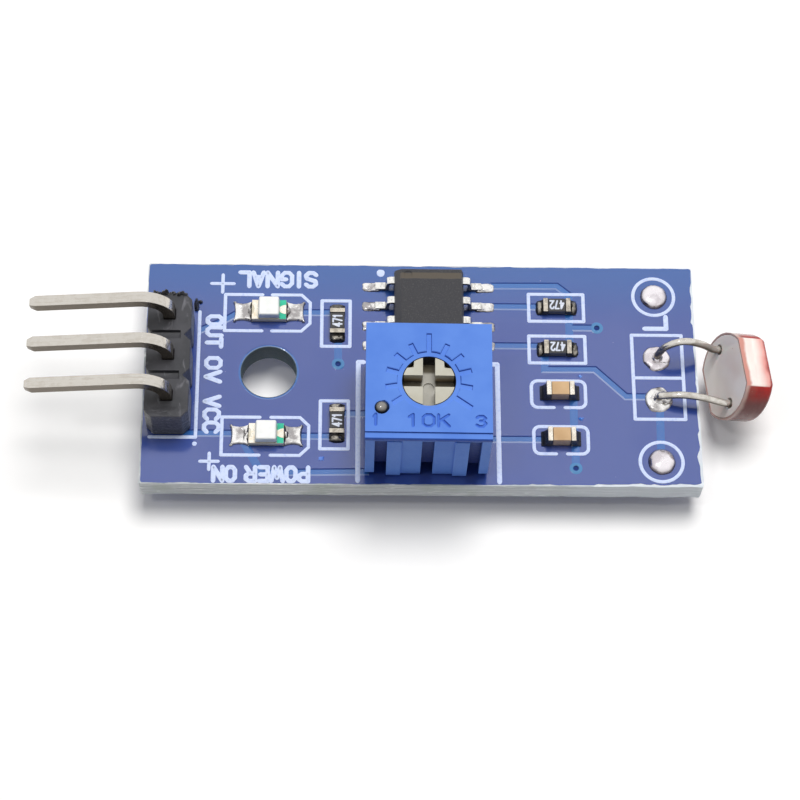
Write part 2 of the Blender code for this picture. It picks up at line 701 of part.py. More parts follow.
def cap_outline():
    """The side view of the trimmer's top: a flat face, and a lower ledge along the front."""
    top = BOARD_TOP + TRIMMER_HEIGHT
    front = -TRIMMER_DEPTH / 2
    back = TRIMMER_DEPTH / 2
    bottom = top - LIP_HEIGHT
    edge = top - LEDGE_DROP
    outline = [(front, bottom), (back, bottom), (back, top), (front + LEDGE_WIDTH, top)]
    outline.append((front + LEDGE_WIDTH, edge))
    outline += arc(front + LIP_ROUND, edge - LIP_ROUND, LIP_ROUND, math.pi / 2, math.pi, ARC_STEPS)
    return outline


def dial_outline():
    """The sunk ring round the rotor, with its ticks."""
    outline = []
    for i in range(DIAL_TICKS):
        angle = DIAL_FIRST_ANGLE + DIAL_SWEEP * i / (DIAL_TICKS - 1)
        reach = DIAL_LONG_TICK_RADIUS if i in DIAL_LONG_TICKS else DIAL_TICK_RADIUS
        along = Vector((math.cos(angle), math.sin(angle)))
        side = Vector((-along.y, along.x)) * DIAL_TICK_WIDTH / 2
        for point in (along * DIAL_RING_RADIUS - side, along * reach - side):
            outline.append((point.x, point.y))
        for point in (along * reach + side, along * DIAL_RING_RADIUS + side):
            outline.append((point.x, point.y))
        gap = DIAL_SWEEP / (DIAL_TICKS - 1)
        steps = 3
        if i == DIAL_TICKS - 1:
            gap = 2 * math.pi - DIAL_SWEEP
            steps = 12
        margin = DIAL_TICK_WIDTH / 2 / DIAL_RING_RADIUS
        ring = arc(0, 0, DIAL_RING_RADIUS, angle + margin, angle + gap - margin, steps)
        outline += ring[1:-1]
    return outline


def make_trimmer():
    """The trimmer: a moulded housing, a turning rotor with its wiper, and the element under them."""
    top = BOARD_TOP + TRIMMER_HEIGHT
    wall_under = top - TOP_WALL
    flange_top = wall_under - SEAL_RING_THICKNESS - 2 * SEAT_GAP
    flange_bottom = flange_top - ROTOR_FLANGE_THICKNESS
    hub_bottom = flange_bottom - ROTOR_HUB_HEIGHT
    element_top = hub_bottom - WIPER_DROP
    element_bottom = element_top - ELEMENT_THICKNESS
    ledge = element_top + SEAT_GAP
    core_bottom = BOARD_TOP + CORE_STANDOFF
    lip_bottom = top - LIP_HEIGHT
    centre = holder("trimmer", (TRIMMER_X, trimmer_y, 0), (0, 0, TRIMMER_TURN))

    cap = plate_mesh("trimmer_housing", [cap_outline()], -TRIMMER_WIDTH / 2, TRIMMER_WIDTH / 2)
    cap.transform(Matrix.Rotation(math.radians(90), 4, "Z") @ Matrix.Rotation(math.radians(90), 4, "X"))
    housing = link("trimmer_housing", cap, TRIMMER_BLUE, centre)
    core_top = top - LIP_HEIGHT / 2
    core_size = (
        TRIMMER_WIDTH - 2 * CORE_INSET,
        TRIMMER_DEPTH - 2 * RECESS_DEPTH,
        core_top - core_bottom,
    )
    core = box_mesh("trimmer_core", core_size, (0, 0, (core_top + core_bottom) / 2))
    foot_bottom = BOARD_TOP + FOOT_STANDOFF
    post_bottom = BOARD_TOP + POST_STANDOFF
    feet = plate_mesh("trimmer_feet", feet_outlines(), foot_bottom, lip_bottom - FOOT_HEADROOM)
    posts = plate_mesh("trimmer_posts", posts_outlines(), post_bottom, lip_bottom + LIP_HEIGHT / 4)
    for added in (core, feet, posts):
        boolean(housing, link(added.name, added, None, centre), "UNION")

    cavity = plate_mesh(
        "trimmer_cavity",
        [rounded_rectangle(CAVITY_WIDTH, CAVITY_DEPTH, HOUSING_CORNER_RADIUS)],
        core_bottom - OVERSHOOT,
        ledge,
    )
    cut(housing, "trimmer_cavity", cavity, centre)
    bore_radius = ROTOR_FLANGE_DIAMETER / 2 + RUNNING_GAP
    bore = plate_mesh("trimmer_bore", [circle(0, 0, bore_radius, FINE)], ledge - OVERSHOOT, wall_under)
    cut(housing, "trimmer_bore", bore, centre)
    opening = plate_mesh(
        "trimmer_opening",
        [circle(0, 0, DIAL_OPENING_DIAMETER / 2, FINE)],
        wall_under - OVERSHOOT,
        top + OVERSHOOT,
    )
    cut(housing, "trimmer_opening", opening, centre)
    dial = plate_mesh("trimmer_dial", [dial_outline()], top - DIAL_DEPTH, top + OVERSHOOT)
    cut(housing, "trimmer_dial", dial, centre)

    ball_radius = PLUG_BALL_DIAMETER / 2
    ball_place = (PLUG_BALL_X, PLUG_BALL_Y, top + PLUG_BALL_PROUD - ball_radius)
    pocket = ball_mesh("trimmer_ball_pocket", ball_radius + SEAT_GAP, ball_place)
    cut(housing, "trimmer_ball_pocket", pocket, centre)
    ball = ball_mesh("trimmer_plug_ball", ball_radius, ball_place)
    link("trimmer_plug_ball", ball, BALL_STEEL, centre)

    make_rotor(centre, top - ROTOR_SINK, flange_top, flange_bottom, hub_bottom)
    ring_radius = SEAL_RING_THICKNESS / 2
    ring_x = DIAL_OPENING_DIAMETER / 2 - RUNNING_GAP + SEAT_GAP + ring_radius
    ring_z = flange_top + SEAT_GAP + ring_radius
    ring_profile = circle(ring_x, ring_z, ring_radius, COARSE // 2)[::-1]
    ring = turned_mesh("trimmer_seal_ring", ring_profile, MEDIUM, closed=True)
    link("trimmer_seal_ring", ring, SEAL_RUBBER, centre)

    contact_z = element_top + SEAT_GAP + WIPER_THICKNESS / 2
    flat_z = hub_bottom - SEAT_GAP - WIPER_THICKNESS / 2
    contact_x = ROTOR_FLANGE_DIAMETER / 2 - WIPER_CONTACT_INSET
    half = [(WIPER_FLAT_RADIUS, flat_z), (contact_x, contact_z)]
    half.append((contact_x + WIPER_TIP_LENGTH, contact_z + WIPER_TIP_RISE))
    wiper_path = [(-x, z) for x, z in half[::-1]] + half
    wiper = side_plate_mesh("trimmer_wiper", ribbon(wiper_path, WIPER_THICKNESS), WIPER_WIDTH)
    link("trimmer_wiper", wiper, SPRING_METAL, centre)

    inside = (CAVITY_WIDTH - 2 * SEAT_GAP, CAVITY_DEPTH - 2 * SEAT_GAP)
    element = plate_mesh(
        "trimmer_element",
        [rounded_rectangle(*inside, HOUSING_CORNER_RADIUS)],
        element_bottom,
        element_top,
    )
    link("trimmer_element", element, CERAMIC_WHITE, centre)
    hole = TRIMMER_PIN_DIAMETER / 2 + SEAT_GAP
    base_outlines = [rounded_rectangle(*inside, HOUSING_CORNER_RADIUS)]
    base_outlines += [circle(x, y, hole, COARSE) for x, y in trimmer_pins]
    base_top = element_bottom - SEAT_GAP
    base = plate_mesh("trimmer_base", base_outlines, core_bottom + BASE_RECESS, base_top)
    link("trimmer_base", base, BASE_EPOXY, centre)

    pin_mesh = turned_mesh("trimmer_pin", [
        (0, base_top),
        (TRIMMER_PIN_DIAMETER / 2, base_top),
        (TRIMMER_PIN_DIAMETER / 2, TAIL_Z),
        (0, TAIL_Z),
    ], COARSE)
    solder_mesh = joint_mesh("trimmer_joint", TRIMMER_HOLE_DIAMETER)
    for i, (x, y) in enumerate(trimmer_pins):
        pin = link(f"trimmer_pin_{i + 1}", pin_mesh, PIN_METAL, centre, (x, y, 0))
        joint = link(f"trimmer_joint_{i + 1}", solder_mesh, None, centre, (x, y, 0))
        boolean(pin, joint, "UNION")


def make_rotor(centre, face, flange_top, flange_bottom, hub_bottom):
    """The turning rotor, with a cross slot and two pointer notches. Its origin is on its axis."""
    boss = DIAL_OPENING_DIAMETER / 2 - RUNNING_GAP
    profile = [
        (0, face),
        (boss, face),
        (boss, flange_top),
        (ROTOR_FLANGE_DIAMETER / 2, flange_top),
        (ROTOR_FLANGE_DIAMETER / 2, flange_bottom),
        (ROTOR_HUB_DIAMETER / 2, flange_bottom),
        (ROTOR_HUB_DIAMETER / 2, hub_bottom),
        (0, hub_bottom),
    ]
    rotor = link("trimmer_rotor", turned_mesh("trimmer_rotor", profile, FINE), ROTOR_CREAM, centre)
    half = SLOT_WIDTH / 2
    arm = boss + OVERSHOOT
    quarter = [(half, arm), (-half, arm), (-half, half)]
    cross = []
    for turn in range(4):
        spin = Matrix.Rotation(turn * math.pi / 2, 2)
        for point in quarter:
            turned = spin @ Vector(point)
            cross.append((turned.x, turned.y))
    slot_floor = face - SLOT_DEPTH
    cut(rotor, "rotor_slot", plate_mesh("rotor_slot", [cross], slot_floor, face + OVERSHOOT), centre)
    dimple = circle(0, 0, ROTOR_DIMPLE_DIAMETER / 2, COARSE)
    dimple_mesh = plate_mesh("rotor_dimple", [dimple], slot_floor - ROTOR_DIMPLE_DEPTH, face)
    cut(rotor, "rotor_dimple", dimple_mesh, centre)
    inner = boss - POINTER_NOTCH_RADIAL
    outer = boss + OVERSHOOT
    spread = POINTER_NOTCH_WIDTH / 2
    notch = [(inner, 0), (boss, -spread), (outer, -spread), (outer, spread), (boss, spread)]
    notch_mesh = plate_mesh("rotor_notch", [notch], face - POINTER_NOTCH_DEPTH, face + OVERSHOOT)
    for i, angle in enumerate(POINTER_NOTCH_ANGLES):
        cut(rotor, f"rotor_notch_{i + 1}", notch_mesh, centre, turn=angle)


def fillet_outline(inner, end, height, fillet_height, reach, toe):
    """The side view of a chip's metal end with its solder: a cap, then a hollow slope to the toe."""
    outline = [(inner, 0), (end + reach, 0), (end + reach, toe)]
    steps = 5
    for i in range(1, steps):
        share = i / steps
        x = end + reach * (1 - share)
        z = toe + (fillet_height - toe) * share ** 2.2
        outline.append((x, z))
    outline.append((end, fillet_height))
    if height > fillet_height:
        outline.append((end, height))
    outline.append((inner, height))
    return outline


def make_leds():
    """Two indicator lamps: a base, a clear lens on it and solder at each end."""
    half = LED_LENGTH / 2
    base_mesh = box_mesh("led_base", (LED_LENGTH, LED_WIDTH, LED_BASE_HEIGHT), (0, 0, LED_BASE_HEIGHT / 2))
    lens_bottom = LED_BASE_HEIGHT + SEAT_GAP
    lens_top = LED_BASE_HEIGHT + LED_LENS_HEIGHT
    sections = []
    for z, inset in ((lens_bottom, 0), (lens_top, LED_LENS_DRAFT)):
        x = LED_LENS_LENGTH / 2 - inset
        y = LED_WIDTH / 2 - LED_LENS_SIDE_INSET
        sections.append([(x, y, z), (-x, y, z), (-x, -y, z), (x, -y, z)])
    lens_mesh = lofted_mesh("led_lens", sections)
    toe = 2 * SEAT_GAP
    solder = fillet_outline(
        half + SEAT_GAP, half + 2 * SEAT_GAP, LED_SOLDER_HEIGHT, LED_SOLDER_HEIGHT, LED_SOLDER_REACH, toe
    )
    solder_mesh = side_plate_mesh("led_solder", solder, LED_SOLDER_WIDTH)
    for name, y in LED_PLACES:
        centre = holder(name, (LED_X, y, SEAT_Z))
        link(f"{name}_base", base_mesh, LED_WHITE, centre)
        lens = link(f"{name}_lens", lens_mesh, LED_CLEAR, centre)
        bevel(lens, LED_LENS_EDGE_ROUND, 2)
        for label, turn in (("a", 0.0), ("b", math.pi)):
            link(f"{name}_solder_{label}", solder_mesh, SOLDER, centre, turn=turn)


def make_chips():
    """Chip resistors and capacitors, each a body between two metal ends with their solder."""
    half = CHIP_LENGTH / 2
    kinds = (
        (RESISTOR_PLACES, RESISTOR_HEIGHT, RESISTOR_BLACK),
        (CAPACITOR_PLACES, CAPACITOR_HEIGHT, CAPACITOR_TAN),
    )
    for places, height, finish in kinds:
        body_length = CHIP_LENGTH - 2 * CHIP_END - 2 * SEAT_GAP
        body_size = (body_length, CHIP_WIDTH - 2 * CHIP_EDGE, height - CHIP_EDGE)
        body_mesh = box_mesh("chip_body", body_size, (0, 0, height / 2))
        outline = fillet_outline(
            half - CHIP_END, half, height, height * 0.6, CHIP_FILLET_REACH, CHIP_FILLET_TOE
        )
        end_mesh = side_plate_mesh("chip_end", outline, CHIP_WIDTH)
        for name, x, y, turn in places:
            centre = holder(name, (x, y, SEAT_Z), (0, 0, turn))
            link(f"{name}_body", body_mesh, finish, centre)
            for label, side in (("a", 0.0), ("b", math.pi)):
                link(f"{name}_end_{label}", end_mesh, SOLDER, centre, turn=side)


def make_spare_pads():
    """Solder that fills the two unused holes beside the photoresistor."""
    plug = SENSOR_HOLE_DIAMETER / 2 - SEAT_GAP
    top = BOARD_TOP + SEAT_GAP
    profile = [(0, top + SPARE_DOME_HEIGHT)]
    dome = arc(0, 0, 1.0, math.radians(65), math.radians(15), 3)
    profile += [(SOLDER_RADIUS * x, top + SPARE_DOME_HEIGHT * y) for x, y in dome]
    profile += [(SOLDER_RADIUS, top), (plug, top), (plug, -SEAT_GAP), (SOLDER_RADIUS, -SEAT_GAP)]
    profile += [(SOLDER_RADIUS * x, -SEAT_GAP - SPARE_DOME_HEIGHT * y) for x, y in dome[::-1]]
    profile.append((0, -SEAT_GAP - SPARE_DOME_HEIGHT))
    mesh = turned_mesh("spare_pad_solder", profile, COARSE)
    for i, y in enumerate(spare_pad_ys):
        link(f"spare_pad_solder_{i + 1}", mesh, SOLDER, location=(sensor_pad_x, y, 0))


def sensor_outline(margin, steps):
    """A disc with two flats, inset by the margin. The flats lie along Y."""
    radius = SENSOR_DIAMETER / 2 - margin
    flat = SENSOR_FLATS / 2 - margin
    reach = math.asin(flat / radius)
    right = arc(0, 0, radius, -reach, reach, steps)
    left = arc(0, 0, radius, math.pi - reach, math.pi + reach, steps)
    return right + left


def smooth_route(points, steps):
    """Points of a smooth curve through the given points."""
    route = []
    ends = [points[0] * 2 - points[1]] + points + [points[-1] * 2 - points[-2]]
    for i in range(1, len(ends) - 2):
        a, b, c, d = ends[i - 1], ends[i], ends[i + 1], ends[i + 2]
        square = a * 2 - b * 5 + c * 4 - d
        cube = b * 3 - a - c * 3 + d
        for j in range(steps):
            t = j / steps
            route.append((b * 2 + (c - a) * t + square * t ** 2 + cube * t ** 3) / 2)
    return route + [points[-1]]


def make_photoresistor():
    """The photoresistor: a ceramic disc, its track and coat, and two leads that bend down to the board."""
    place = Vector((BOARD_LENGTH / 2 + SENSOR_REACH, SENSOR_Y, BOARD_TOP + SENSOR_RISE))
    # Its own Z points from the leads' side to the coated face, Y along the leads' row
    frame = (
        Matrix.Translation(place)
        @ Matrix.Rotation(SENSOR_SWING, 4, "Z")
        @ Matrix.Rotation(math.radians(90) + SENSOR_LEAN, 4, "Y")
    )
    centre = holder("photoresistor", frame.translation, frame.to_euler("XYZ"))

    holes = [circle(0, side * SENSOR_LEAD_SPACING / 2, SENSOR_LEAD_HOLE / 2, COARSE) for side in (1, -1)]
    disc_margin = SENSOR_COAT + SEAT_GAP
    outline = [turned_quarter(sensor_outline(disc_margin, 10))]
    disc = plate_mesh("photoresistor_disc", outline + holes, 0, SENSOR_CERAMIC)
    link("photoresistor_disc", disc, SENSOR_GREY, centre)

    track_bottom = SENSOR_CERAMIC + SEAT_GAP
    track_top = track_bottom + SENSOR_TRACK_THICKNESS
    track = plate_mesh("photoresistor_track", [track_outline()], track_bottom, track_top)
    link("photoresistor_track", track, TRACK_ORANGE, centre)

    outline = [turned_quarter(sensor_outline(0, 10))]
    coat_mesh = plate_mesh("photoresistor_coat", outline, 0, SENSOR_THICKNESS)
    coat = link("photoresistor_coat", coat_mesh, SENSOR_RED, centre)
    round_front_edge(coat_mesh, SENSOR_THICKNESS, SENSOR_EDGE_ROUND)
    pocket = plate_mesh(
        "photoresistor_pocket",
        [turned_quarter(sensor_outline(SENSOR_COAT, 10))],
        -OVERSHOOT,
        track_top + SEAT_GAP,
    )
    cut(coat, "photoresistor_pocket", pocket, centre)

    up = Vector((0, 0, 1))
    inward = (frame.to_3x3() @ up).normalized()
    for i, (side, pad_y, rises) in enumerate(zip((1, -1), sensor_pad_ys, SENSOR_LEAD_ROUTES)):
        entry = frame @ Vector((0, side * SENSOR_LEAD_SPACING / 2, 0))
        end = entry + inward * (SENSOR_CERAMIC - SEAT_GAP)
        pad = Vector((sensor_pad_x, pad_y, 0))
        clear_of_solder = pad + up * (BOARD_TOP + SOLDER_TOP_HEIGHT + 2 * SEAT_GAP)
        over = [pad.lerp(entry, share) for share, height in rises]
        for point, (share, height) in zip(over, rises):
            point.z = BOARD_TOP + height
        before = entry - inward * SENSOR_LEAD_DIAMETER
        route = smooth_route([clear_of_solder, *over, before, entry], ARC_STEPS)
        points = [pad + up * TAIL_Z, pad + up * BOARD_TOP] + route + [end]
        lead = wire_mesh(f"photoresistor_lead_{i + 1}", points, SENSOR_LEAD_DIAMETER)
        link(f"photoresistor_lead_{i + 1}", lead, LEAD_METAL)

    bore = SENSOR_LEAD_DIAMETER / 2 + SEAT_GAP
    plug = SENSOR_HOLE_DIAMETER / 2 - SEAT_GAP
    collar = bore + SENSOR_SOLDER_COLLAR
    top = BOARD_TOP + SEAT_GAP
    profile = [
        (bore, top + SOLDER_TOP_HEIGHT),
        (collar, top + SOLDER_TOP_HEIGHT),
        (SENSOR_SOLDER_SHOULDER, top + 0.55 * SOLDER_TOP_HEIGHT),
        (SENSOR_SOLDER_SLOPE, top + 0.35 * SOLDER_TOP_HEIGHT),
        (SOLDER_RADIUS, top + 2 * SEAT_GAP),
        (SOLDER_RADIUS, top),
        (plug, top),
        (plug, -SEAT_GAP),
        (SOLDER_RADIUS, -SEAT_GAP),
        (SOLDER_RADIUS, -3 * SEAT_GAP),
        (SOLDER_NECK_RADIUS, -SOLDER_BOTTOM_HEIGHT / 2),
        (collar, -SOLDER_BOTTOM_HEIGHT),
        (bore, -SOLDER_BOTTOM_HEIGHT),
    ]
    joint = turned_mesh("photoresistor_solder", profile, COARSE, closed=True)
    for i, y in enumerate(sensor_pad_ys):
        link(f"photoresistor_solder_{i + 1}", joint, SOLDER, location=(sensor_pad_x, y, 0))


def turned_quarter(outline):
    """The outline with its flats facing along X, not Y."""
    return [(-y, x) for x, y in outline]


def track_outline():
    """The winding light-sensitive track on the disc's face."""
    path = []
    first = -SENSOR_TRACK_PITCH * (SENSOR_TRACK_RUNS - 1) / 2
    for i in range(SENSOR_TRACK_RUNS):
        y = first + i * SENSOR_TRACK_PITCH
        ends = (-SENSOR_TRACK_LENGTH / 2, SENSOR_TRACK_LENGTH / 2)
        if i % 2:
            ends = ends[::-1]
        path += [(x, y) for x in ends]
    half = SENSOR_TRACK_WIDTH / 2
    left, right = [], []
    for i, (x, y) in enumerate(path):
        before = path[max(i - 1, 0)]
        after = path[min(i + 1, len(path) - 1)]
        along_in = (Vector((x, y)) - Vector(before)).normalized() if i else Vector((1, 0))
        along_out = (Vector(after) - Vector((x, y))).normalized() if i < len(path) - 1 else along_in
        side = Vector((-along_in.y - along_out.y, along_in.x + along_out.x)) * half
        if i in (0, len(path) - 1):
            side /= 2
        left.append((x + side.x, y + side.y))
        right.append((x - side.x, y - side.y))
    return left + right[::-1]


def round_front_edge(mesh, height, width):
    """Rounds the edges of the mesh's face at the height."""
    shape = bmesh.new()
    shape.from_mesh(mesh)
    bmesh.ops.scale(shape, vec=(1 / MM,) * 3, verts=shape.verts)
    bmesh.ops.dissolve_limit(shape, angle_limit=math.radians(1), verts=shape.verts, edges=shape.edges)
    rim = [
        edge
        for edge in shape.edges
        if all(abs(vert.co.z - height / MM) < SEAT_GAP / MM for vert in edge.verts)
    ]
    bmesh.ops.bevel(shape, geom=rim, offset=width / MM, segments=3, affect="EDGES", profile=0.5)
    bmesh.ops.scale(shape, vec=(MM,) * 3, verts=shape.verts)
    shape.to_mesh(mesh)
    shape.free()
    smooth(mesh)


make_board()
make_header()
make_comparator()
make_trimmer()
make_leds()
make_chips()
make_spare_pads()
make_photoresistor()
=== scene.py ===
"""Looks of the light sensor module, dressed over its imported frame.

Shapes are made in millimetres and scaled to metres as each piece is finished. The frame's origin is the
middle of the board's underside, +X points to the photoresistor and +Z up through the components.
"""

import math

import bmesh
import bpy
from mathutils import Matrix, Vector, noise


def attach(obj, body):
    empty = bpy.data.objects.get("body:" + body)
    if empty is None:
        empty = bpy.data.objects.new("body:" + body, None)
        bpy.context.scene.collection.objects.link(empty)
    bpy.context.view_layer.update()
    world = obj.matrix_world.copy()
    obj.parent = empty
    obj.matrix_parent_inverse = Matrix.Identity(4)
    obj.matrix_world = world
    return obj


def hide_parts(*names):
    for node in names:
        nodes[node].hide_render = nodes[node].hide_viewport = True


MM = 0.001
RIGHT, FAR, UP = (1, 0, 0), (0, 1, 0), (0, 0, 1)

# Creases under these angles, in degrees, are shaded smooth
SHARP_ANGLE = 32.0
SMOOTH_ANGLE = 60.0

# Corners of a node, and of a new shape, that lie closer than these are one. Flatter edges are dropped
WELD_DISTANCE = 0.0008
TOUCH_DISTANCE = 0.001
FLAT_ANGLE = math.radians(1)

# Board
BOARD_LENGTH = 32.0
BOARD_WIDTH = 14.0
BOARD_TOP = 1.6
BOARD_CORNER = 0.15
MOUNT_HOLE = (-8.8, 0.0, 1.6)
VIAS = ((-4.81, 0.55), (10.25, 3.0), (8.75, -5.87))
VIA_RADIUS = 0.2
VIA_RING_RADIUS = 0.385
SQUARE_PIN_HOLE = 0.5
ROUND_PIN_HOLE = 0.45
CORE_TOP = 1.565
CORE_BOTTOM = 0.03
MASK_TOP = 1.58
MASK_BOTTOM = 0.01
MASK_HOLE_GAP = 0.05
LAP = 0.005
MASK_SETBACK = 0.07
MASK_WAVE = 0.05
EDGE_STEP = 0.25
TRACE_TOP = 1.6
TRACE_WIDTH = 0.28
TRACE_SLOPE = 0.1
TRACE_STEP = 0.0004
RING_SLOPE = 0.05
INK_TOP = 1.61
INK_HALF_HEIGHT = 0.018
INK_WIDTH = 0.2
BROAD_INK_WIDTH = 0.28
LABEL_INK_WIDTH = 0.27
SEAT_Z = 1.62

# Rows of pins and pads
HEADER_X = -14.42
HEADER_YS = (2.42, -0.12, -2.66)
SENSOR_PAD_X = 13.66
SENSOR_PAD_YS = (1.05, -1.57)
SPARE_PAD_YS = (5.05, -5.45)
PIN_SOLDER_TOP = 1.4
PAD_TOP = 1.59
PAD_BOTTOM = 0.01

# The middle lines of the tracks on top and underneath
TOP_TRACKS = (
    ((4.1, 5.69), (7.98, 5.72), (8.64, 5.17), (8.64, 4.4)),
    ((4.1, 4.34), (7.1, 4.34)),
    ((4.1, 1.8), (7.1, 1.8)),
    ((8.66, 4.2), (8.63, 1.8)),
    ((8.64, 3.0), (10.05, 3.0)),
    ((7.16, 1.4), (7.15, 0.3), (10.04, 0.32), (11.78, -1.38), (12.95, -1.38)),
    ((8.75, -1.3), (8.71, -4.0)),
    ((8.77, -4.2), (8.75, -5.7)),
    ((3.7, -4.12), (7.2, -4.11)),
    ((13.7, -2.2), (13.64, -5.0)),
    ((-6.9, 3.83), (-5.0, 3.85)),
    ((-4.83, 2.5), (-4.81, 0.75)),
    ((-6.9, -4.02), (-5.0, -4.01)),
    ((-4.6, -2.6), (-2.8, -2.59)),
    ((-10.16, -4.4), (-9.1, -6.28), (-3.0, -6.18)),
    ((-13.6, -3.88), (-10.8, -3.87)),
    ((-10.6, 3.83), (-11.42, 3.3), (-12.9, 2.6)),
)
BOTTOM_TRACKS = (
    (
        (HEADER_X, 2.42), (-11.0, 2.42), (-9.6, 3.82), (-4.8, 3.82), (-4.81, 0.55), (4.0, 0.55),
        (4.3, 1.7),
    ),
    ((HEADER_X, -2.66), (-11.4, -2.66), (-9.9, -4.4), (-2.6, -4.73)),
    ((HEADER_X, -0.12), (-12.4, -0.12), (-10.9, -2.0), (-6.6, -2.0), (-2.3, -4.73)),
    ((0.24, -2.19), (6.4, -2.2), (9.2, 0.4), (12.0, 0.9), (SENSOR_PAD_X, 1.05)),
    ((10.25, 3.0), (11.8, 4.4), (SENSOR_PAD_X, 5.05)),
    ((8.75, -5.87), (2.78, -5.87), (2.78, -4.73)),
    ((SENSOR_PAD_X, -1.57), (15.0, -2.6), (15.0, -4.4), (SENSOR_PAD_X, -5.45)),
)

# Components
COMPARATOR = (0.43, 3.62)
LEAD_ROWS = (5.525, 4.255, 2.985, 1.715)
TRIMMER = (0.24, -2.93)
TRIMMER_TURN = math.radians(-0.4)
TRIMMER_TOP = 6.95
TRIMMER_PINS = ((-2.54, -1.8), (0.0, 0.74), (2.54, -1.8))
BORE_RADIUS = 1.55
DIAL_INNER = 1.6
DIAL_OUTER = 2.95
WIDE_BEVEL = 0.07
PLUG_BALL = (-2.6, -1.67, 6.85, 0.4)
LED_X = -8.85
LED_HALF_LENGTH = 0.99
LED_HALF_WIDTH = 0.61
LED_COVER_HALF = 0.62
LED_BASE_HEIGHT = 0.35
LEDS = (("signal_led", 3.82), ("power_led", -4.02))
RESISTORS = (
    ("led_resistor_1", -4.87, 3.12, 90.0, "471"),
    ("led_resistor_2", -4.84, -3.2, 90.0, "471"),
    ("divider_resistor", 7.92, 4.25, 180.0, "472"),
    ("pullup_resistor", 7.9, 1.55, 180.0, "472"),
)
GLAZE_TOP = 2.076
CAPACITORS = ("filter_capacitor_1", "filter_capacitor_2")

# Photoresistor: the middle of its back face, and how it leans and swings
SENSOR_PLACE = Vector((17.41, -0.36, 2.28))
SENSOR_LEAN = math.radians(21.5)
SENSOR_SWING = math.radians(6.7)
SENSOR_LEAD_RADIUS = 0.21
SENSOR_LEAD_SPACING = 3.4
SENSOR_CERAMIC = 1.25
SENSOR_LEAD_RISES = (
    ((0.1, 1.55), (0.36, 2.1), (0.66, 1.6)),
    ((0.1, 0.72), (0.32, 1.02), (0.62, 0.98)),
)

# Camera, fitted to the photograph
CAMERA_AZIMUTH = math.radians(-3.102)
CAMERA_ELEVATION = math.radians(65.585)
CAMERA_ROLL = math.radians(3.295)
CAMERA_DISTANCE = 136.001
CAMERA_TARGET = Vector((-1.218, -1.356, 0.8))
CAMERA_LENS = 105.97

# Stage: each lamp's place and size in metres, its power, its colour and whether reflections show it
FLOOR_Z = -1.505
LAMPS = (
    ("key", (0.04, 0.088, 0.325), 0.18, 0.97, (1.0, 0.98, 0.96), False),
    ("spark", (-0.12, -0.04, 0.32), 0.045, 0.1, (1.0, 1.0, 1.0), True),
)
SKY_BRIGHT_SIDE = (0.0, 0.5, 0.87)
SKY_LEVELS = (-0.3, 1.0, 0.02, 0.36)

# Strokes of the lettering, in a box one unit high
BOWL = ((0, 0), (0, 1), (0.48, 1), (0.7, 0.86), (0.7, 0.6), (0.48, 0.46), (0, 0.46))
ROUND = ((0.2, 0), (0.5, 0), (0.7, 0.22), (0.7, 0.78), (0.5, 1), (0.2, 1), (0, 0.78), (0, 0.22), (0.2, 0))
LETTERS = {
    "A": (((0, 0), (0.35, 1), (0.7, 0)), ((0.12, 0.33), (0.58, 0.33))),
    "C": (((0.7, 0.82), (0.5, 1), (0.2, 1), (0, 0.78), (0, 0.22), (0.2, 0), (0.5, 0), (0.7, 0.18)),),
    "E": (((0.64, 1), (0, 1), (0, 0), (0.64, 0)), ((0, 0.52), (0.55, 0.52))),
    "G": (
        ((0.7, 0.82), (0.5, 1), (0.2, 1), (0, 0.78), (0, 0.22), (0.2, 0), (0.5, 0), (0.7, 0.2), (0.7, 0.48)),
        ((0.7, 0.48), (0.42, 0.48)),
    ),
    "I": (((0.2, 0), (0.2, 1)),),
    "K": (((0, 0), (0, 1)), ((0.65, 1), (0, 0.42)), ((0.22, 0.6), (0.68, 0))),
    "L": (((0, 1), (0, 0), (0.62, 0)),),
    "N": (((0, 0), (0, 1), (0.7, 0), (0.7, 1)),),
    "O": (ROUND,),
    "0": (ROUND,),
    "P": (BOWL,),
    "R": (BOWL, ((0.36, 0.46), (0.7, 0))),
    "S": (
        ((0.68, 0.85), (0.5, 1), (0.2, 1), (0, 0.82), (0.05, 0.6), (0.63, 0.42), (0.7, 0.2), (0.5, 0)),
        ((0.5, 0), (0.18, 0), (0, 0.15)),
    ),
    "T": (((0, 1), (0.7, 1)), ((0.35, 1), (0.35, 0))),
    "U": (((0, 1), (0, 0.2), (0.2, 0), (0.5, 0), (0.7, 0.2), (0.7, 1)),),
    "V": (((0, 1), (0.35, 0), (0.7, 1)),),
    "W": (((0, 1), (0.22, 0), (0.45, 0.75), (0.68, 0), (0.9, 1)),),
    "1": (((0.1, 0.78), (0.35, 1), (0.35, 0)),),
    "2": (((0, 0.78), (0.18, 1), (0.5, 1), (0.7, 0.8), (0.66, 0.58), (0, 0), (0.7, 0)),),
    "3": (
        ((0.02, 0.85), (0.2, 1), (0.5, 1), (0.68, 0.8), (0.5, 0.55), (0.28, 0.53)),
        ((0.5, 0.55), (0.7, 0.3), (0.5, 0), (0.2, 0), (0, 0.15)),
    ),
    "4": (((0.5, 0), (0.5, 1), (0, 0.3), (0.7, 0.3)),),
    "7": (((0, 1), (0.7, 1), (0.28, 0)),),
    " ": (),
}
LETTER_WIDTHS = {"I": 0.4, "W": 0.9, " ": 0.3}
LETTER_GAP = 0.28

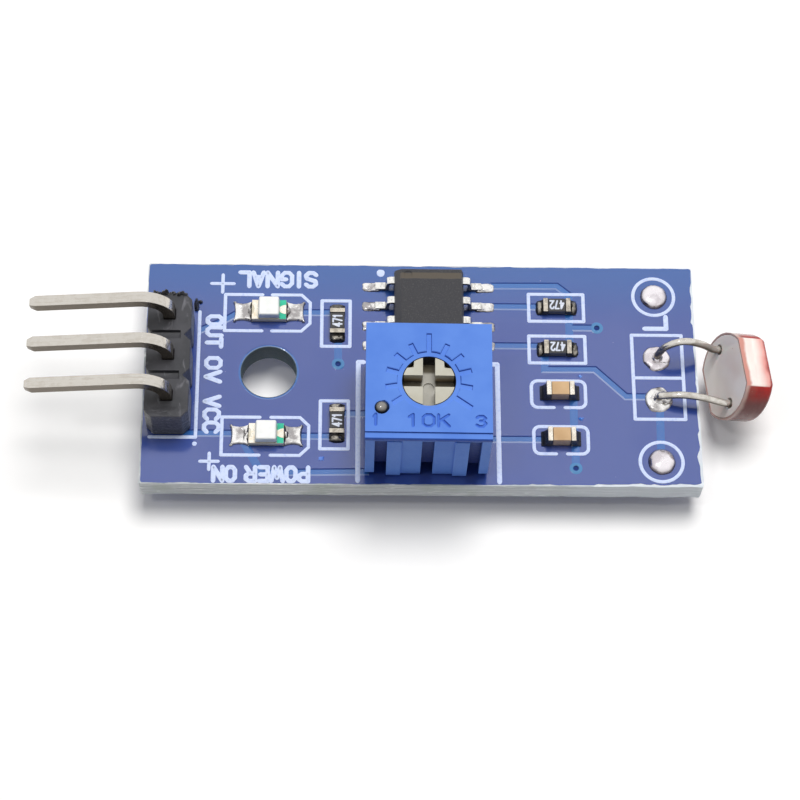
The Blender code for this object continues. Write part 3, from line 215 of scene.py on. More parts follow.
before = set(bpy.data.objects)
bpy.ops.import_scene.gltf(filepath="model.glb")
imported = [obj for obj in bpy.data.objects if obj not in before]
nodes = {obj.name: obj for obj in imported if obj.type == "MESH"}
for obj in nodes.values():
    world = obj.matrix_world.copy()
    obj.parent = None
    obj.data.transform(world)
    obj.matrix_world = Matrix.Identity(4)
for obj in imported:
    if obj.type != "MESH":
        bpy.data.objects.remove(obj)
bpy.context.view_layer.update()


def tone(*colour):
    """A colour written from 0 to 255, as the linear colour that shaders take."""
    linear = []
    for value in colour:
        share = value / 255
        linear.append(share / 12.92 if share <= 0.04045 else ((share + 0.055) / 1.055) ** 2.4)
    return (*linear, 1.0)


def feed(tree, socket, value):
    """Gives a socket another node's output or a value. A colour of three is written from 0 to 255."""
    if isinstance(value, bpy.types.NodeSocket):
        tree.links.new(value, socket)
    elif socket.type == "RGBA" and len(value) == 3:
        socket.default_value = tone(*value)
    else:
        socket.default_value = value


def add_node(tree, kind, inputs=(), **settings):
    """Adds a node to a tree, with its settings and what feeds its inputs."""
    made = tree.nodes.new(kind)
    for key, value in settings.items():
        setattr(made, key, value)
    for key, value in dict(inputs).items():
        feed(tree, made.inputs[key], value)
    return made


class Finish:
    """A material and the node calls that the finishes share."""

    def __init__(self, name, colour, roughness, metallic=0.0):
        self.material = bpy.data.materials.new(name)
        self.material.use_nodes = True
        self.tree = self.material.node_tree
        self.shader = self.tree.nodes["Principled BSDF"]
        self.set("Base Color", colour)
        self.set("Roughness", roughness)
        self.set("Metallic", metallic)
        self.set("Specular IOR Level", 0.5 if metallic else 0.6)
        self.place = self.node("ShaderNodeTexCoord").outputs["Object"]
        self.relief = None

    def set(self, socket, value):
        """Feeds an input of the surface's shader."""
        feed(self.tree, self.shader.inputs[socket], value)

    def node(self, kind, inputs=(), **settings):
        return add_node(self.tree, kind, inputs, **settings)

    def math(self, operation, first, second=0.0):
        return self.node("ShaderNodeMath", {0: first, 1: second}, operation=operation).outputs[0]

    def times(self, first, second):
        return self.math("MULTIPLY", first, second)

    def vector(self, operation, first, second=(0, 0, 0)):
        inputs = {0: first, 1: tuple(second)}
        return self.node("ShaderNodeVectorMath", inputs, operation=operation).outputs

    def facing(self, direction=UP):
        """How far the surface faces a direction, from -1 to 1."""
        normal = self.node("ShaderNodeTexCoord").outputs["Normal"]
        return self.vector("DOT_PRODUCT", normal, direction)["Value"]

    def stretched(self, x, y, z):
        """The place with its axes scaled, for streaks."""
        return self.vector("MULTIPLY", self.place, (x, y, z))["Vector"]

    def along(self, direction, origin=(0, 0, 0)):
        """How far a point lies along a direction from the origin, in millimetres."""
        shifted = self.vector("SUBTRACT", self.place, [value * MM for value in origin])["Vector"]
        return self.vector("DOT_PRODUCT", shifted, [value / MM for value in direction])["Value"]

    def away(self, x, y):
        """How far a point lies from an upright line, in millimetres."""
        shifted = self.vector("SUBTRACT", self.place, (x * MM, y * MM, 0))["Vector"]
        scaled = self.vector("MULTIPLY", shifted, (1 / MM, 1 / MM, 0))["Vector"]
        return self.vector("LENGTH", scaled)["Value"]

    def noise(self, size, detail=3.0, place=None, distortion=0.0):
        """Cloudy noise whose patches are about the size, in millimetres."""
        inputs = {
            "Vector": place or self.place,
            "Scale": 1 / (size * MM),
            "Detail": detail,
            "Distortion": distortion,
        }
        return self.node("ShaderNodeTexNoise", inputs).outputs["Fac"]

    def cells(self, size):
        """Distance from scattered points about the size apart, in millimetres."""
        inputs = {"Vector": self.place, "Scale": 1 / (size * MM)}
        return self.node("ShaderNodeTexVoronoi", inputs).outputs["Distance"]

    def ramp(self, value, low, high, first=0.0, last=1.0):
        """Goes smoothly from first to last while the value goes from low to high."""
        inputs = {"Value": value, 1: low, 2: high, 3: first, 4: last}
        made = self.node("ShaderNodeMapRange", inputs, interpolation_type="SMOOTHSTEP")
        return made.outputs["Result"]

    def cloud(self, size, low, high, detail=3.0):
        """Patches about the size, from 0 to 1."""
        return self.ramp(self.noise(size, detail), low, high)

    def mix(self, share, first, second):
        """One colour at share 0, the other at 1."""
        made = self.node("ShaderNodeMix", {0: share, 6: first, 7: second}, data_type="RGBA")
        return made.outputs[2]

    def over(self, colour, *coats):
        """A colour under coats, each of them a share and a colour."""
        for share, coat in coats:
            colour = self.mix(share, colour, coat)
        return colour

    def paint(self, colour, *coats):
        """Gives the surface a colour under coats."""
        self.set("Base Color", self.over(colour, *coats))

    def bump(self, height, depth):
        """Adds relief of a depth, in millimetres."""
        inputs = {"Height": height, "Distance": depth * MM, "Strength": 1.0}
        if self.relief:
            inputs["Normal"] = self.relief
        self.relief = self.node("ShaderNodeBump", inputs).outputs["Normal"]
        self.set("Normal", self.relief)

    def translucent(self, weight, *reach):
        """Lets light into the surface. Each colour reaches some millimetres."""
        self.set("Subsurface Weight", weight)
        self.set("Subsurface Radius", [value * MM for value in reach])


def mask_finish(name, first, second, far, shine=1.0):
    """Solder mask: an even, glossy lacquer, with a painted change of sheen that makes it greener towards the
    far edge.
    """
    made = Finish(name, first, 0.12)
    made.set("IOR", 1.6)
    made.set("Specular IOR Level", shine)
    specks = made.times(made.ramp(made.cells(0.55), 0.05, 0.02), made.cloud(0.9, 0.62, 0.7, 1.0))
    made.paint(
        first,
        (made.cloud(7.0, 0.35, 0.65, 2.0), second),
        # Painted sheen: greener towards the far edge
        (made.ramp(made.along(FAR), 2.6, 7.0), far),
        (specks, (150, 165, 215)),
    )
    made.set("Roughness", made.ramp(made.noise(0.35), 0.3, 0.7, 0.1, 0.16))
    made.bump(made.noise(0.6, 2.0), 0.0012)
    return made.material


def ink_finish():
    """Silkscreen ink, a little thin in places."""
    made = Finish("white_ink", (206, 220, 252), 0.5)
    made.paint((210, 223, 253), (made.cloud(0.14, 0.46, 0.76, 4.0), (188, 204, 246)))
    made.bump(made.noise(0.07), 0.003)
    return made.material


def fibre_finish():
    """The sawn glass fibre of the board's edge, in layers, with painted light on the right end and painted
    shade down the mounting hole.
    """
    made = Finish("glass_fibre", (164, 170, 174), 0.6)
    layers = made.noise(0.3, 4.0, made.stretched(0.05, 0.05, 3.2), 0.4)
    shreds = made.noise(0.5, 5.0, made.stretched(0.35, 0.35, 4.0), 1.2)
    # Painted shade down the mounting hole's wall
    bore_shade = made.ramp(made.away(*MOUNT_HOLE[:2]), MOUNT_HOLE[2] + 0.06, MOUNT_HOLE[2] + 0.02)
    made.paint(
        (180, 186, 189),
        (made.ramp(layers, 0.35, 0.68), (224, 228, 231)),
        (made.ramp(shreds, 0.56, 0.66), (244, 247, 247)),
        (made.times(made.cloud(2.4, 0.5, 0.7, 2.0), 0.4), (170, 182, 168)),
        # Painted light, paler towards the right end
        (made.ramp(made.along(RIGHT), 0.0, 14.0, 0.0, 0.7), (228, 236, 246)),
        (bore_shade, (70, 92, 104)),
    )
    made.translucent(0.15, 0.2, 0.3, 0.25)
    made.bump(layers, 0.03)
    made.bump(shreds, 0.04)
    return made.material


def metal_finish(
    name, bright, dull, side, roughness, grain, streak=(1, 1, 1), metallic=0.9, relief=0.002,
    steep=(0.0, 0.6), foot=None
):
    """Plated metal: bright and dull patches, fine streaks, and painted shade where it is steep or below a
    foot.
    """
    made = Finish(name, bright, roughness, metallic)
    streaks = made.noise(grain, 4.0, made.stretched(*streak))
    patches = made.noise(grain * 3, 2.0)
    share = made.ramp(made.math("ADD", streaks, patches), 0.9, 1.25)
    # The side colour is painted shade on steep faces and below the foot
    facing = made.ramp(made.facing(), *steep)
    if foot:
        facing = made.times(facing, made.ramp(made.along(UP), foot, foot + 0.08))
    made.paint(side, (facing, made.mix(share, bright, dull)))
    made.set("Roughness", made.ramp(streaks, 0.3, 0.7, roughness * 0.8, roughness * 1.4))
    made.bump(streaks, relief)
    return made.material


def solder_finish(name, bright, dull, side, grain, relief):
    """Reflowed solder: shiny facets, dull frosted patches and wrinkles, with painted shade where it is
    steep.
    """
    made = Finish(name, bright, 0.2, 0.9)
    wrinkles = made.noise(grain, 4.0, None, 0.9)
    frost = made.cloud(grain * 1.6, 0.42, 0.62)
    # Painted shade on the steep faces
    facing = made.ramp(made.facing(), 0.45, 0.96)
    made.paint(side, (facing, made.mix(frost, bright, dull)))
    made.set("Roughness", made.ramp(wrinkles, 0.35, 0.65, 0.16, 0.32))
    made.bump(wrinkles, relief)
    return made.material


def plastic_finish(name, colour, shade, roughness, grain, relief, coat=0.0):
    """Moulded plastic: faint flow patches and a fine skin."""
    made = Finish(name, colour, roughness)
    made.paint(colour, (made.cloud(grain * 14, 0.35, 0.7), shade))
    skin = made.noise(grain, 3.0)
    made.set("Roughness", made.ramp(skin, 0.3, 0.7, roughness * 0.85, roughness * 1.2))
    made.set("Coat Weight", coat)
    made.set("Coat Roughness", 0.2)
    made.bump(skin, relief)
    return made


def header_finish():
    """Black plastic with pale scuffs, torn where its near end was snapped off."""
    made = plastic_finish("black_plastic", (36, 37, 43), (48, 48, 54), 0.42, 0.12, 0.006)
    scuffs = made.noise(0.5, 5.0, made.stretched(1, 0.4, 2), 1.0)
    worn = made.ramp(scuffs, 0.58, 0.74)
    made.paint((48, 49, 53), (made.cloud(1.7, 0.35, 0.7), (66, 66, 71)), (worn, (104, 104, 110)))
    made.bump(scuffs, 0.01)
    torn = made.ramp(made.along(FAR), -3.3, -3.6)
    made.bump(made.times(torn, made.noise(0.7, 4.0, None, 0.8)), 0.16)
    return made.material


def trimmer_finish():
    """Blue moulded plastic, with painted shade in the marks of its top, round the rotor and down its
    recesses.
    """
    pale, deep = (99, 141, 225), (91, 133, 219)
    made = plastic_finish("blue_plastic", pale, deep, 0.42, 0.14, 0.005)
    made.set("Specular IOR Level", 0.1)
    height = made.along(UP)
    y = made.along(FAR, (*TRIMMER, 0))
    # Painted shade on the sides of the ticks that face the near left corner
    tick_shade = made.ramp(made.facing((-0.6, -0.8, 0)), 0.12, 0.5)
    tick_shade = made.times(made.ramp(height, 6.5, 6.6), tick_shade)
    # Painted shade in the sunk lettering
    digits = made.times(made.ramp(y, -1.9, -2.0), made.ramp(y, -3.05, -2.95))
    digits = made.times(digits, made.ramp(height, TRIMMER_TOP - 0.005, TRIMMER_TOP - 0.05))
    # Painted shade on what lies nearer than the cap, between the feet, darker further down
    sunk = made.ramp(y, -3.3, -3.15)
    low = made.times(sunk, made.ramp(height, 6.4, 2.2))
    back = made.times(sunk, made.ramp(height, 6.4, 6.1, 0.0, 0.7))
    # Painted shade on the wall round the rotor
    bore_shade = made.ramp(made.away(*TRIMMER), BORE_RADIUS + 0.12, BORE_RADIUS + 0.06)
    bore_shade = made.times(bore_shade, made.ramp(height, TRIMMER_TOP - 0.1, TRIMMER_TOP - 0.25))
    made.paint(
        pale,
        (made.cloud(2.0, 0.35, 0.7), deep),
        (made.times(tick_shade, 0.8), (34, 66, 158)),
        (made.times(digits, 0.5), (52, 92, 190)),
        (made.times(low, 0.95), (8, 18, 60)),
        (back, (26, 48, 120)),
        (bore_shade, (34, 34, 40)),
    )
    return made.material


def package_finish():
    """Moulding compound with a sparkling grain and a paler sunk band by the marked end."""
    made = plastic_finish("black_epoxy", (48, 48, 51), (56, 56, 59), 0.5, 0.05, 0.004)
    along = made.math("ADD", made.along(FAR), made.ramp(made.noise(0.6), 0, 1, -0.03, 0.03))
    band = made.times(made.ramp(along, 5.3, 5.36), made.ramp(along, 5.74, 5.68))
    band = made.times(band, made.ramp(made.along(UP), 3.05, 3.12))
    made.paint((46, 46, 50), (made.cloud(0.05, 0.5, 0.75, 4.0), (82, 81, 82)), (band, (84, 77, 68)))
    made.bump(band, -0.01)
    return made.material


def rotor_finish():
    """Cream plastic, with the slot's walls and floor browned and darker further down: partly stain from
    handling, partly painted shade.
    """
    cream = (198, 196, 184)
    made = plastic_finish("cream_plastic", cream, (186, 183, 168), 0.42, 0.1, 0.004)
    x = made.along(RIGHT, (*TRIMMER, 0))
    y = made.along(FAR, (*TRIMMER, 0))
    depth = made.along(UP)
    # Stain and painted shade in the slot, darker further down
    sunk = made.ramp(depth, 6.8, 6.0)
    sideways = made.ramp(made.math("ABSOLUTE", x), 0.3, 0.46)
    far = made.ramp(y, 0.8, 1.0)
    stain_and_shade = made.times(sunk, made.math("MAXIMUM", sideways, far))
    base = made.mix(made.cloud(1.7, 0.35, 0.7), cream, (186, 183, 168))
    floor = made.mix(made.ramp(depth, 6.6, 6.0), base, (170, 168, 160))
    shade = made.mix(made.ramp(depth, 6.4, 5.95), (140, 112, 70), (84, 78, 64))
    made.paint(floor, (stain_and_shade, shade))
    made.translucent(0.1, 0.3, 0.25, 0.2)
    return made.material


def lens_finish():
    """Milky resin, with painted shade that makes it greyer down its sides."""
    made = Finish("lens_resin", (250, 252, 250), 0.2)
    top = made.mix(made.cloud(0.4, 0.3, 0.7, 2.0), (255, 255, 253), (244, 248, 244))
    # Painted shade down the sides
    made.paint((226, 234, 232), (made.ramp(made.facing(), 0.2, 0.9), top))
    made.set("IOR", 1.5)
    made.translucent(0.5, 0.3, 0.3, 0.28)
    made.bump(made.noise(0.25), 0.004)
    return made.material


def coat_finish():
    """Clear red lacquer: a painted highlight that makes the two flats pale, deep red beside them, and
    browner and darker lower down, partly thin lacquer and partly painted shade.
    """
    made = Finish("red_lacquer", (150, 50, 42), 0.14)
    wave = made.ramp(made.noise(1.2, 2.0), 0, 1, -0.16, 0.16)
    depth = made.math("ADD", made.along(sensor_axis, SENSOR_PLACE), wave)
    height = made.math("ADD", made.along(sensor_up, SENSOR_PLACE), wave)
    streaks = made.ramp(made.noise(0.5, 4.0, made.stretched(1.0, 0.25, 0.5)), 0.4, 0.68)
    # Painted highlight on the two flats
    flat_highlight = made.over(
        (255, 246, 240),
        (made.ramp(depth, 0.9, 1.6), (236, 160, 152)),
        (made.times(streaks, 0.3), (240, 196, 188)),
        (made.ramp(depth, 0.42, 0.2), (214, 150, 138)),
        (made.ramp(depth, 1.45, 1.75), (150, 40, 44)),
    )
    deep = made.over((176, 22, 14), (streaks, (150, 18, 12)), (made.ramp(depth, 0.9, 0.4), (150, 60, 50)))
    side = made.over(
        deep,
        # Browner lower down: thin lacquer with painted shade
        (made.ramp(height, 2.0, 1.0), made.mix(streaks, (116, 54, 52), (130, 76, 72))),
        (made.ramp(depth, 0.4, 0.1), (190, 160, 152)),
        (made.times(made.ramp(made.cells(0.3), 0.07, 0.03), 0.5), (206, 180, 176)),
    )
    made.paint(side, (made.ramp(made.facing(sensor_up), 0.93, 0.97), flat_highlight))
    made.set("Specular IOR Level", 0.2)
    made.set("Coat Weight", 0.25)
    made.set("Coat Roughness", 0.04)
    made.translucent(0.2, 0.6, 0.25, 0.2)
    made.bump(made.noise(1.1, 2.0), 0.03)
    return made.material


def ceramic_finish():
    """Pale ceramic with a few pits."""
    made = plastic_finish("disc_ceramic", (244, 234, 227), (232, 218, 210), 0.38, 0.09, 0.004, 0.4)
    pits = made.times(made.ramp(made.cells(0.5), 0.09, 0.04), made.cloud(0.8, 0.58, 0.68, 1.0))
    made.paint((248, 240, 234), (made.cloud(2.6, 0.3, 0.75, 2.0), (234, 220, 212)), (pits, (150, 120, 112)))
    made.translucent(0.35, 0.7, 0.4, 0.35)
    return made.material


def evaluated(temporary):
    """The mesh that a temporary object's modifiers or curve give, and the object removed."""
    bpy.context.scene.collection.objects.link(temporary)
    graph = bpy.context.evaluated_depsgraph_get()
    mesh = bpy.data.meshes.new_from_object(temporary.evaluated_get(graph))
    bpy.data.objects.remove(temporary)
    return mesh


def piece(name, mesh, finishes, body="module", stands_for=(), sharp=SHARP_ANGLE):
    """Puts a mesh or an open shape, made in millimetres, in the scene and on its body."""
    if isinstance(mesh, bmesh.types.BMesh):
        mesh = as_mesh(name, mesh)
    mesh.transform(Matrix.Diagonal((MM, MM, MM, 1)))
    made = bpy.data.objects.new(name, mesh)
    bpy.context.scene.collection.objects.link(made)
    mesh.materials.clear()
    for finish in finishes if isinstance(finishes, (list, tuple)) else (finishes,):
        mesh.materials.append(finish)
    mesh.shade_smooth()
    mesh.set_sharp_from_angle(angle=math.radians(sharp))
    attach(made, body)
    if stands_for:
        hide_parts(*stands_for)
    return made


def as_mesh(name, shape):
    """The open shape as a mesh."""
    mesh = bpy.data.meshes.new(name)
    shape.to_mesh(mesh)
    shape.free()
    return mesh


def arc(x, y, radius, start, end, steps, stretch=1.0):
    """Points round a middle from one angle to another, in degrees, and stretched sideways."""
    angles = [math.radians(start + (end - start) * i / steps) for i in range(steps + 1)]
    return [(x + radius * math.cos(a) * stretch, y + radius * math.sin(a)) for a in angles]


def circle(x, y, radius, steps=48):
    """Points all the way round a middle."""
    return arc(x, y, radius, 0, 360, steps)[:-1]


def curve_mesh(lines, **settings):
    """The mesh of a curve. Each line says whether it closes, and has points of (x, y, z, thickness)."""
    curve = bpy.data.curves.new("curve", "CURVE")
    for key, value in settings.items():
        setattr(curve, key, value)
    for closed, points in lines:
        spline = curve.splines.new("POLY")
        spline.points.add(len(points) - 1)
        for point, (x, y, z, thickness) in zip(spline.points, points):
            point.co = (x, y, z, 1.0)
            point.radius = thickness
        spline.use_cyclic_u = closed
    return evaluated(bpy.data.objects.new("curve", curve))


def tubes(lines, radius, rounds):
    """Round bars along the lines."""
    return curve_mesh(
        lines, dimensions="3D", bevel_depth=radius, bevel_resolution=rounds, use_fill_caps=True
    )


def plate(outlines, bottom, top):
    """A flat piece between two heights. The first outline is its edge and the others are holes."""
    lines = [(True, [(x, y, 0.0, 1.0) for x, y in outline]) for outline in outlines]
    mesh = curve_mesh(lines, dimensions="2D", fill_mode="BOTH", extrude=(top - bottom) / 2)
    mesh.transform(Matrix.Translation((0, 0, (top + bottom) / 2)))
    return mesh


def welded(mesh):
    """The mesh with corners that touch made one, and its faces turned outwards."""
    shape = bmesh.new()
    shape.from_mesh(mesh)
    bmesh.ops.remove_doubles(shape, verts=shape.verts, dist=TOUCH_DISTANCE)
    bmesh.ops.recalc_face_normals(shape, faces=shape.faces)
    shape.to_mesh(mesh)
    shape.free()
    return mesh


def joined(meshes):
    """Several meshes as one."""
    shape = bmesh.new()
    for mesh in meshes:
        shape.from_mesh(mesh)
    return as_mesh("joined", shape)


def wander(x, y, scale, seed):
    """Smooth noise over the plan, from about -1 to 1."""
    return noise.noise(Vector((x * scale, y * scale, seed)))


def skin(shape, rows, closed=False):
    """Adds the faces between rows of corners. Closed rows go all the way round."""
    for row, following in zip(rows, rows[1:]):
        for i in range(len(row) if closed else len(row) - 1):
            j = (i + 1) % len(row)
            shape.faces.new((row[i], following[i], following[j], row[j]))


def wavy_edge(setback, wave, seed):
    """The plan of the board, set back by a distance that wanders along the edge."""
    half_x, half_y = BOARD_LENGTH / 2, BOARD_WIDTH / 2
    arcs = []
    for i, (side, end) in enumerate(((1, 1), (-1, 1), (-1, -1), (1, -1))):
        x, y = side * (half_x - BOARD_CORNER), end * (half_y - BOARD_CORNER)
        arcs.append([Vector(point) for point in arc(x, y, BOARD_CORNER, 90 * i, 90 * i + 90, 4)])
    outline = []
    for bend, following in zip(arcs, arcs[1:] + arcs[:1]):
        start, end = bend[-1], following[0]
        count = int((end - start).length / EDGE_STEP)
        outline += bend + [start.lerp(end, i / count) for i in range(1, count)]
    moved = []
    for x, y in outline:
        coarse, fine = wander(x, y, 0.7, seed), wander(x, y, 3.1, seed + 5)
        chipped = min(1.0, max(0.0, (x - 4) / 8)) if y < 6 else 0.0
        back = max(0.0, setback + wave * (coarse + 0.6 * fine))
        back *= 1 + chipped * (0.9 + 1.5 * abs(fine))
        moved.append((x * (1 - back / half_x), y * (1 - back / half_y)))
    return moved


def band(points, width, slope, top, bottom):
    """A flat-topped strip with sloping sides, and mitred corners, along the points."""
    shape = bmesh.new()
    foot = width / 2 + slope
    rows = []
    for i, point in enumerate(points):
        here = Vector(point)
        before = Vector(points[max(i - 1, 0)])
        after = Vector(points[min(i + 1, len(points) - 1)])
        into = (here - before).normalized() if i else (after - here).normalized()
        out = (after - here).normalized() if i < len(points) - 1 else into
        side = Vector((-into.y - out.y, into.x + out.x)).normalized()
        stretch = 1 / max(0.3, side.dot(Vector((-out.y, out.x))))
        row = []
        for reach, height in ((-foot, bottom), (-width / 2, top), (width / 2, top), (foot, bottom)):
            place = here + side * reach * stretch
            row.append(shape.verts.new((place.x, place.y, height)))
        rows.append(row)
    skin(shape, rows)
    bmesh.ops.recalc_face_normals(shape, faces=shape.faces)
    for face in shape.faces:
        if face.normal.z < 0:
            face.normal_flip()
    return as_mesh("band", shape)


def ring(x, y, inner, outer, slope, top, bottom, steps=32):
    """A flat-topped ring with sloping sides."""
    shape = bmesh.new()
    profile = ((inner - slope / 2, bottom), (inner, top), (outer, top), (outer + slope, bottom))
    rows = []
    for i in range(steps):
        angle = 2 * math.pi * i / steps
        c, s = math.cos(angle), math.sin(angle)
        points = [(x + radius * c, y + radius * s, height) for radius, height in profile]
        rows.append([shape.verts.new(point) for point in points])
    skin(shape, rows[:1] + rows[::-1])
    return as_mesh("ring", shape)


def split_at_corners(line):
    """The line as several, so that its width holds round sharp corners."""
    line = [Vector(point) for point in line]
    parts = [[line[0]]]
    for before, here, after in zip(line, line[1:], line[2:]):
        parts[-1].append(here)
        if (here - before).angle(after - here) > math.radians(50):
            parts.append([here])
    parts[-1].append(line[-1])
    return parts


def strokes(lines, width, height, flatness, rounds=3):
    """Rounded lines with tapered ends at a height. Each line is a list of (x, y)."""
    bars = []
    for line in [part for line in lines for part in split_at_corners(line)]:
        closed = (line[0] - line[-1]).length < 1e-6
        points = [(point, 1.0) for point in line]
        if closed:
            points.pop()
        else:
            start = (line[0] - line[1]).normalized() * width / 2
            finish = (line[-1] - line[-2]).normalized() * width / 2
            points = [(line[0] + start, 0.25), (line[0] + start * 0.7, 0.7)] + points
            points += [(line[-1] + finish * 0.7, 0.7), (line[-1] + finish, 0.25)]
        bars.append((closed, [(place.x, place.y, 0.0, thickness) for place, thickness in points]))
    mesh = tubes(bars, width / 2, rounds)
    mesh.transform(Matrix.Translation((0, 0, height)) @ Matrix.Diagonal((1, 1, flatness, 1)))
    return mesh


def lettering(text, centre, width, height, turn=0.0):
    """Strokes of a text whose middle is the centre, turned by some degrees."""
    lines = []
    pen = 0.0
    for letter in text:
        for line in LETTERS[letter]:
            lines.append([(pen + x, y) for x, y in line])
        pen += LETTER_WIDTHS.get(letter, 0.7) + LETTER_GAP
    length = pen - LETTER_GAP
    spin = Matrix.Rotation(math.radians(turn), 2)
    placed = []
    for line in lines:
        row = []
        for x, y in line:
            point = spin @ Vector(((x / length - 0.5) * width, (y - 0.5) * height))
            row.append((centre[0] + point.x, centre[1] + point.y))
        placed.append(row)
    return placed


def lump(shape, centre, half_x, half_y, height, square=2.4, full=2.0, soft=0.6, wild=0.1, seed=0.0):
    """Adds a mound of solder. A negative height hangs down."""
    rings, steps = 12, 36
    x0, y0, z0 = centre
    rows = []
    for i in range(rings + 1):
        share = i / rings
        row = []
        for j in range(1 if i == 0 else steps):
            angle = 2 * math.pi * j / steps
            c, s = math.cos(angle), math.sin(angle)
            reach = (abs(c) ** square + abs(s) ** square) ** (-1 / square)
            reach *= share * (1 + wild * noise.noise(Vector((c * 1.9 + seed, s * 1.9, seed))))
            x = x0 + half_x * reach * c
            y = y0 + half_y * reach * s
            rise = max(0.0, 1 - share ** full) ** soft
            ripple = wander(x, y, 2.3, seed * 1.7) + 0.5 * wander(x, y, 6.1, seed)
            z = z0 + height * (rise + wild * 1.6 * ripple * rise)
            row.append(shape.verts.new((x, y, z)))
        rows.append(row)
    for i in range(steps):
        shape.faces.new((rows[0][0], rows[1][i], rows[1][(i + 1) % steps]))
    skin(shape, rows[1:], True)


def pillow(shape, centre, half_x, half_y, height, inner, seed):
    """Adds solder that shrank between four corners, with hollow sides. It is highest on its inner side."""
    steps = 20
    x0, y0, z0 = centre
    rows = []
    for i in range(steps + 1):
        u = 2 * i / steps - 1
        row = []
        for j in range(steps + 1):
            v = 2 * j / steps - 1
            x = x0 + half_x * u * (0.84 + 0.16 * v * v)
            y = y0 + half_y * v * (0.82 + 0.18 * u * u)
            body = max(0.0, (1 - u ** 6) * (1 - v ** 6)) ** 0.4
            dish = 0.62 + 0.38 * max(abs(u), abs(v)) ** 2 + 0.3 * max(0.0, inner * u) ** 1.5
            corner = 0.5 * (abs(u) * abs(v)) ** 5
            ripple = wander(x, y, 2.6, seed) + 0.5 * wander(x, y, 6.3, seed + 3)
            z = z0 + height * (body * (dish + 0.2 * ripple) + corner)
            row.append(shape.verts.new((x, y, z)))
        rows.append(row)
    skin(shape, rows)


def on_dial(edge):
    """Whether an edge outlines the dial sunk in the trimmer's top."""
    middle = (edge.verts[0].co + edge.verts[1].co) / 2
    level = all(abs(vert.co.z - TRIMMER_TOP) < 0.01 for vert in edge.verts)
    return level and DIAL_INNER < (middle.xy - Vector(TRIMMER)).length < DIAL_OUTER


def refined(
    name, node, finishes, width, segments=2, angle=28.0, body="module", split=None,
    sharp=SHARP_ANGLE, wide=None, cutter=None
):
    """A node's mesh with rounded edges, some of them wide, and a cutter's shape sunk in it."""
    shape = bmesh.new()
    shape.from_mesh(nodes[node].data)
    bmesh.ops.scale(shape, vec=(1 / MM,) * 3, verts=shape.verts)
    bmesh.ops.remove_doubles(shape, verts=shape.verts, dist=WELD_DISTANCE)
    bmesh.ops.dissolve_limit(shape, angle_limit=FLAT_ANGLE, verts=shape.verts, edges=shape.edges)
    rounded = {"profile": 0.5, "affect": "EDGES"}
    if wide:
        edges = [edge for edge in shape.edges if wide(edge) and edge.calc_face_angle(0) > 1]
        bmesh.ops.bevel(shape, geom=edges, offset=WIDE_BEVEL, segments=2, **rounded)
    least = math.radians(angle)
    edges = [edge for edge in shape.edges if len(edge.link_faces) == 2 and edge.calc_face_angle(0) > least]
    bmesh.ops.bevel(shape, geom=edges, offset=width, segments=segments, clamp_overlap=True, **rounded)
    bmesh.ops.recalc_face_normals(shape, faces=shape.faces)
    mesh = as_mesh(name, shape)
    if cutter:
        whole = bpy.data.objects.new("whole", mesh)
        tool = bpy.data.objects.new("tool", cutter)
        bpy.context.scene.collection.objects.link(tool)
        step = whole.modifiers.new("cut", "BOOLEAN")
        step.operation = "DIFFERENCE"
        step.solver = "EXACT"
        step.use_self = True
        step.object = tool
        mesh = evaluated(whole)
        bpy.data.objects.remove(tool)
    made = piece(name, mesh, finishes, body, (node,), sharp)
    if split is not None:
        for face in mesh.polygons:
            if face.center.z < split * MM:
                face.material_index = 1
    made.modifiers.new("shading", "WEIGHTED_NORMAL").keep_sharp = True


def dress(node, finish):
    """Gives a node that keeps its own shape a better finish."""
    nodes[node].data.materials.clear()
    nodes[node].data.materials.append(finish)


sensor_frame = (
    Matrix.Translation(SENSOR_PLACE)
    @ Matrix.Rotation(SENSOR_SWING, 4, "Z")
    @ Matrix.Rotation(math.radians(90) + SENSOR_LEAN, 4, "Y")
)
sensor_axis = (sensor_frame.to_3x3() @ Vector(UP)).normalized()
sensor_up = sensor_axis.cross((sensor_frame.to_3x3() @ Vector(FAR)).normalized())
if sensor_up.z < 0:
    sensor_up = -sensor_up
trimmer_frame = Matrix.Translation((*TRIMMER, 0)) @ Matrix.Rotation(TRIMMER_TURN, 4, "Z")

# Each mask's third colour is the painted sheen towards the far edge
MASK = mask_finish("blue_mask", (44, 70, 148), (56, 78, 152), (26, 82, 158))
MASK_COPPER = mask_finish("blue_mask_over_copper", (24, 92, 170), (34, 98, 174), (20, 98, 176))
# Darker mask: painted shade on the tracks' far sides, and mask pooled in the vias
MASK_POOLED_AND_SHADED = mask_finish("blue_mask_pooled_and_painted_shade", (30, 52, 116), (36, 58, 122), (32, 62, 128), 0.1)
# Paler mask: a painted highlight on the tracks' near sides
MASK_PAINTED_GLINT = mask_finish("blue_mask_painted_glint", (107, 131, 184), (130, 148, 196), (90, 124, 184))
MASK_TEAL = mask_finish("blue_mask_on_rings", (28, 112, 174), (36, 120, 180), (28, 112, 176))
MASK_CRUMB = mask_finish("blue_mask_crumbs", (60, 112, 214), (78, 138, 232), (60, 112, 214))
INK = ink_finish()
FIBRE = fibre_finish()

